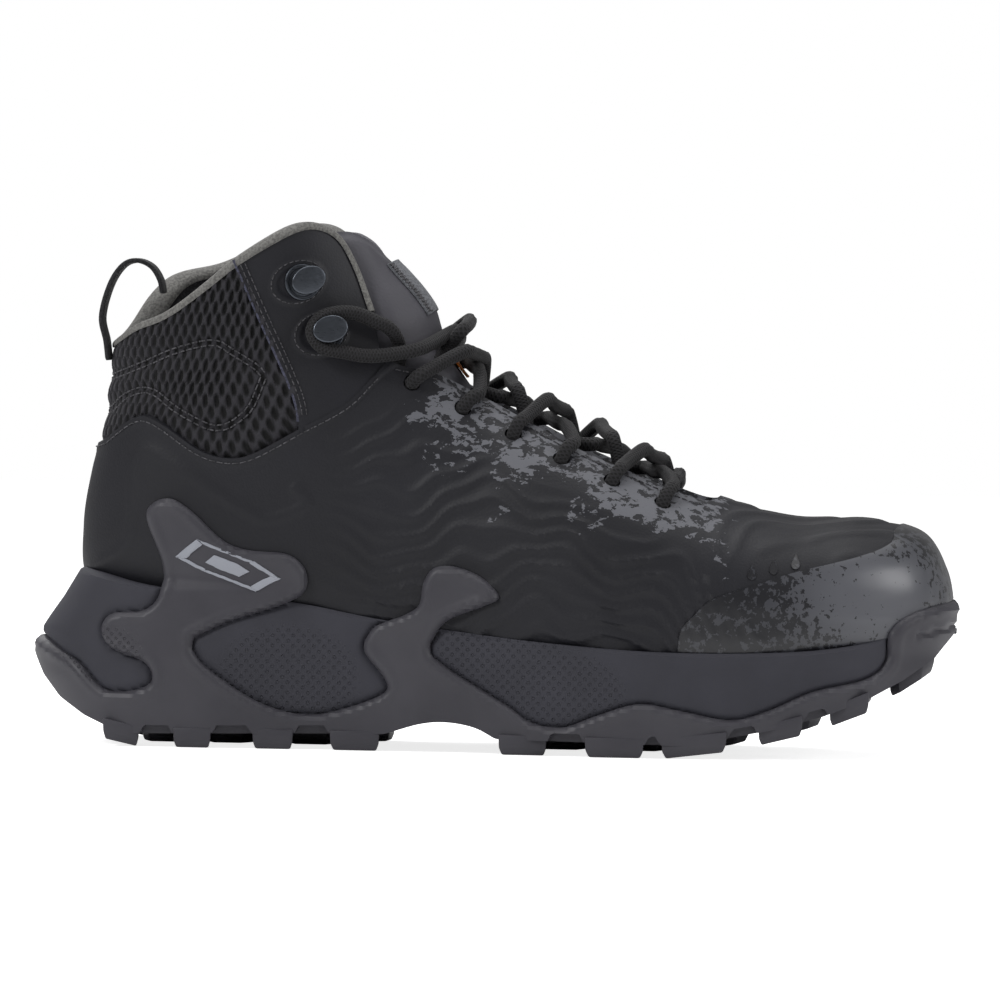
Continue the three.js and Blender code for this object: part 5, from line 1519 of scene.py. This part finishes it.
def build_stitching():
    """Every row of stitches on both sides of the upper, as one piece."""
    size = bpy.context.scene.boot_sizes.stitch
    bm = bmesh.new()
    for hand in (OUTER, INNER):
        def row(line, height, low=-1e9, high=1e9, size=size, thick=0.42):
            line = even(line, step=0.8)
            line = line[(line[:, 0] > low) & (line[:, 0] < high)]
            points, n = on_skin(line, hand)
            sew(bm, points + n * height, n, size, thick=thick)
        row(shifted(WAVE, -1.7), 0.5, -134, -38)
        seam = HOOK_SEAM[(HOOK_SEAM[:, 1] > 108) & (HOOK_SEAM[:, 1] < 160)]
        row(shifted(seam, 1.6), 0.5)
        row(shifted(seam, 3.1), 0.35)
        for line in (QUILT_TOP, QUILT_LOW):
            row(shifted(line, 0.9), -1.0, -136, -70, thick=0.5)
            row(shifted(line, -0.9), -1.0, -136, -70, thick=0.5)
        edge = even(THROAT, step=0.8)
        edge = shifted(edge[(edge[:, 0] > -33) & (edge[:, 0] < 70)], -1.6)
        row(edge, 0.5)
        for x, z, _ in HOOKS.values():
            a = math.radians(20)
            oval = np.array([[math.cos(w) * 8.8, math.sin(w) * 6.9] for w in np.linspace(0, 2 * math.pi, 60)])
            turned = oval @ np.array([[math.cos(a), math.sin(a)], [-math.sin(a), math.cos(a)]])
            row(turned + [x - 1.5, z], 0.55, size=1.1)
    piece = finish(bm, "seam_stitching", material("thread"))
    return settle(piece, "boot", "webbing")


def build_edge_cord():
    """The sealed edge of each hook panel, which shows as a thin bluish line."""
    bm = bmesh.new()
    for hand in (OUTER, INNER):
        line = even(HOOK_SEAM[(HOOK_SEAM[:, 1] > 106) & (HOOK_SEAM[:, 1] < 160.5)], step=1.0)
        points, n = on_skin(line, hand)
        tube(bm, points + n * 0.25, 0.45, 8)
    return settle(finish(bm, "panel_edge", material("edge")), "boot", "webbing")


def build_heel_mark():
    """A plain six-sided inlay on each heel fin: a ring of six bars round a small plate."""
    bm = bmesh.new()
    surface = cup_surface(bpy.context.scene.boot_sizes.fin)
    s = np.linspace(0, 1, 2 * RING_STEPS + 1)

    def on_fin(xz, height, hand):
        got = []
        for x, z in xz:
            row = surface(s, np.full(len(s), z), -height)
            good = np.sign(row[:, 1]) == hand
            error = np.where(good, np.abs(row[:, 0] - x), 1e9)
            got.append(row[error.argmin()])
        return np.array(got)

    def bar(corners, hand):
        outline = even(np.vstack([corners, corners[:1]]), step=1.2)[:-1]
        raise_shape(bm, outline, hand, -0.6, 0.3, lambda xz, h: on_fin(xz, h, hand))

    outer_hex = np.array([[-104, 62.5], [-97, 68.5], [-78, 61.5], [-69, 56], [-77, 51.5], [-95, 58]])
    centre = outer_hex.mean(axis=0)
    inner_hex = centre + (outer_hex - centre) * 0.8
    small = centre + (outer_hex - centre) * 0.42
    for hand in (OUTER, INNER):
        for k in range(6):
            j = (k + 1) % 6
            bar(np.array([outer_hex[k], outer_hex[j], inner_hex[j], inner_hex[k]]), hand)
        bar(small, hand)
    return settle(finish(bm, "heel_fin_inlay", material("mark")), "boot", "binding")


def build_labels():
    """The label on the tongue's front, with its zigzag row, and the lace keeper's tape under the lacing."""
    def patch(u_from, u_to, half, depth):
        rows = np.linspace(u_from, u_to, 40)
        turns = np.tile(np.linspace(math.pi / 2 - half, math.pi / 2 + half, 25), (40, 1))
        sheet = Sheet(form, rows, turns)
        sheet.wall(depth, depth + 0.6)
        return sheet

    label = patch(12.7, 15.9, 0.34, -0.15)
    piece = label.finish("tongue_front_label", material("label"))
    settle(piece, "tongue", "binding", "tongue_label")
    bm = bmesh.new()
    for side in (-1, 1):
        u = np.linspace(12.8, 15.8, 34)
        t = math.pi / 2 + side * (0.30 + 0.035 * np.where(np.arange(34) % 2, 1, -1))
        path = form(u, t) + normal(u, t) * 0.3
        tube(bm, even(path, step=0.7), 0.3, 6)
    settle(finish(bm, "label_zigzag", material("thread")), "tongue", "webbing")
    tab = patch(10.0, 11.9, 0.14, 3.1)
    settle(tab.finish("lace_keeper_tape", material("accent")), "boot", "accent", "tongue_lace_tab")


# ---------- Makers ----------
def make_upper():
    settle(build_shell(), "boot", "moulded_upper", "upper_shell")


def make_collar():
    settle(build_collar_mesh(), "boot", "quilted_mesh", "collar_mesh")
    for hand, word in WORDS.items():
        settle(build_hook_panel(hand), "boot", "moulded_upper", f"hook_panel_{word}")
    padding = build_collar_padding()
    settle(padding, "boot", "lining", "collar_foam", "collar_lining")
    settle(build_binding(), "boot", "binding", "collar_binding")


def make_sole():
    settle(build_outsole(), "boot", "rubber", "outsole")
    settle(build_midsole(), "boot", "foam", "midsole")


def make_toe():
    settle(build_toe_film(), "boot", "film", "toe_film")
    settle(build_drops(), "boot", "film")


def make_hooks():
    for hand in (OUTER, INNER):
        for level in HOOKS:
            build_hook(level, hand)


def make_details():
    build_pull_loop()
    build_stitching()
    build_edge_cord()
    build_heel_mark()
    build_labels()


def finish_inner_parts():
    """The frame's own inner parts get the finish of what they are made of."""
    inner = {
        "arch_shank": "nylon", "insole_board": "board", "steel_toe_cap": "steel",
        "toe_cap_edge_strip": "nylon", "heel_counter": "nylon", "interlining": "lining",
        "foot_lining": "lining", "footbed": "lining",
        "eyestay_lateral": "panel", "eyestay_medial": "panel", "tongue_gusset": "lining",
    }
    for node, finish_name in inner.items():
        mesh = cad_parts[node].data
        mesh.materials.clear()
        mesh.materials.append(material(finish_name))


def make_stage():
    """A pale floor, a white backdrop, four softboxes and a long lens from the side."""
    scene = bpy.context.scene
    bm = bmesh.new()
    bmesh.ops.create_grid(bm, x_segments=2, y_segments=2, size=4.0)
    mesh = bpy.data.meshes.new("floor")
    bm.to_mesh(mesh)
    bm.free()
    floor = bpy.data.objects.new("floor", mesh)
    floor.location.z = -0.0002
    scene.collection.objects.link(floor)
    pale, tree, shader, _ = new_material("pale_floor", "ffffff", 0.9)
    shader.inputs["Specular IOR Level"].default_value = 0.1
    shader.inputs["Emission Color"].default_value = (1, 1, 1, 1)
    # the floor glows to the camera alone, so that it stays as white as the backdrop
    rays = put(tree, "ShaderNodeLightPath")
    glow = put(tree, "ShaderNodeMath", {0: rays.outputs["Is Camera Ray"], 1: 0.8}, operation="MULTIPLY")
    tree.links.new(glow.outputs[0], shader.inputs["Emission Strength"])
    mesh.materials.append(pale)
    world = bpy.data.worlds.new("studio")
    world.use_nodes = True
    back = world.node_tree.nodes["Background"]
    back.inputs["Color"].default_value = (1, 1, 1, 1)
    # the backdrop is white to the camera, and a weaker fill light to everything else
    rays = put(world.node_tree, "ShaderNodeLightPath")
    level = put(world.node_tree, "ShaderNodeMapRange", {
        "To Min": 0.24, "To Max": 1.0, "Value": rays.outputs["Is Camera Ray"]})
    world.node_tree.links.new(level.outputs["Result"], back.inputs["Strength"])
    scene.world = world

    def softbox(name, location, size, power, target=(0, 0, 0.08)):
        light = bpy.data.lights.new(name, "AREA")
        light.shape = "RECTANGLE"
        light.size, light.size_y = size
        light.energy = power
        holder = bpy.data.objects.new(name, light)
        holder.location = location
        holder.rotation_euler = (Vector(target) - Vector(location)).to_track_quat("-Z", "Y").to_euler()
        scene.collection.objects.link(holder)

    softbox("top_softbox", (0.0, 0.1, 1.5), (1.6, 1.2), 13)
    softbox("key_softbox", (-1.0, -0.9, 1.1), (0.4, 0.4), 10)
    softbox("toe_softbox", (1.3, -0.5, 0.7), (0.5, 0.7), 5)
    softbox("rear_softbox", (-0.6, 1.2, 1.0), (0.9, 0.9), 6)
    camera = bpy.data.cameras.new("camera")
    camera.lens = 325
    holder = bpy.data.objects.new("camera", camera)
    azimuth, elevation, distance = math.radians(3.2), math.radians(1.3), 3.0
    target = Vector((0.0006, 0, 0.0822))
    level = math.cos(elevation)
    away = Vector((math.sin(azimuth) * level, -math.cos(azimuth) * level, math.sin(elevation)))
    holder.location = target + away * distance
    roll = Matrix.Rotation(math.radians(0.95), 3, "Z")
    holder.rotation_euler = ((-away).to_track_quat("-Z", "Y").to_matrix() @ roll).to_euler()
    scene.collection.objects.link(holder)
    scene.camera = holder
    scene.view_settings.view_transform = "Standard"


# ---------- Operators ----------
class BOOT_OT_stage(bpy.types.Operator):
    """Sets up the floor, lights and camera."""
    bl_idname = "boot.stage"
    bl_label = "Studio"

    def execute(self, context):
        make_stage()
        return {"FINISHED"}


class BOOT_OT_upper(bpy.types.Operator):
    """Makes the moulded skin of the upper."""
    bl_idname = "boot.upper"
    bl_label = "Moulded upper"

    def execute(self, context):
        make_upper()
        return {"FINISHED"}


class BOOT_OT_collar(bpy.types.Operator):
    """Makes the collar's mesh, hook panels, padding and binding."""
    bl_idname = "boot.collar"
    bl_label = "Collar"

    def execute(self, context):
        make_collar()
        return {"FINISHED"}


class BOOT_OT_tongue(bpy.types.Operator):
    """Makes the padded tongue."""
    bl_idname = "boot.tongue"
    bl_label = "Tongue"

    def execute(self, context):
        build_tongue()
        return {"FINISHED"}


class BOOT_OT_sole(bpy.types.Operator):
    """Makes the rubber outsole with its fins and lugs, and the foam midsole."""
    bl_idname = "boot.sole"
    bl_label = "Sole"

    def execute(self, context):
        make_sole()
        return {"FINISHED"}


class BOOT_OT_toe(bpy.types.Operator):
    """Makes the film over the toe and its drops."""
    bl_idname = "boot.toe"
    bl_label = "Toe film"

    def execute(self, context):
        make_toe()
        return {"FINISHED"}


class BOOT_OT_hooks(bpy.types.Operator):
    """Makes the four lace hooks."""
    bl_idname = "boot.hooks"
    bl_label = "Hooks"

    def execute(self, context):
        make_hooks()
        return {"FINISHED"}


class BOOT_OT_lace(bpy.types.Operator):
    """Makes the lace and its two tips."""
    bl_idname = "boot.lace"
    bl_label = "Lace"

    def execute(self, context):
        build_lace()
        return {"FINISHED"}


class BOOT_OT_details(bpy.types.Operator):
    """Makes the pull loop, stitching, edges, inlay and labels."""
    bl_idname = "boot.details"
    bl_label = "Details"

    def execute(self, context):
        make_details()
        return {"FINISHED"}


class BOOT_OT_inner(bpy.types.Operator):
    """Gives the parts inside their finishes."""
    bl_idname = "boot.inner"
    bl_label = "Inner parts"

    def execute(self, context):
        finish_inner_parts()
        return {"FINISHED"}


OPERATORS = [
    BOOT_OT_stage, BOOT_OT_upper, BOOT_OT_collar, BOOT_OT_tongue, BOOT_OT_sole, BOOT_OT_toe,
    BOOT_OT_hooks, BOOT_OT_lace, BOOT_OT_details, BOOT_OT_inner,
]


class BOOT_PT_panel(bpy.types.Panel):
    """Lists the boot's steps in the sidebar."""
    bl_label = "Boot"
    bl_idname = "BOOT_PT_panel"
    bl_space_type = "VIEW_3D"
    bl_region_type = "UI"
    bl_category = "Boot"

    def draw(self, context):
        for step_class in OPERATORS:
            self.layout.operator(step_class.bl_idname)


CLASSES = [BootSizes, BootColours, *OPERATORS, BOOT_PT_panel]


def register():
    for cls in CLASSES:
        bpy.utils.register_class(cls)
    bpy.types.Scene.boot_sizes = bpy.props.PointerProperty(type=BootSizes)
    bpy.types.Scene.boot_colours = bpy.props.PointerProperty(type=BootColours)


def unregister():
    del bpy.types.Scene.boot_sizes, bpy.types.Scene.boot_colours
    for cls in reversed(CLASSES):
        bpy.utils.unregister_class(cls)


def main():
    register()
    for step_class in OPERATORS:
        getattr(bpy.ops.boot, step_class.bl_idname.partition(".")[2])()


if __name__ == "__main__":
    main()
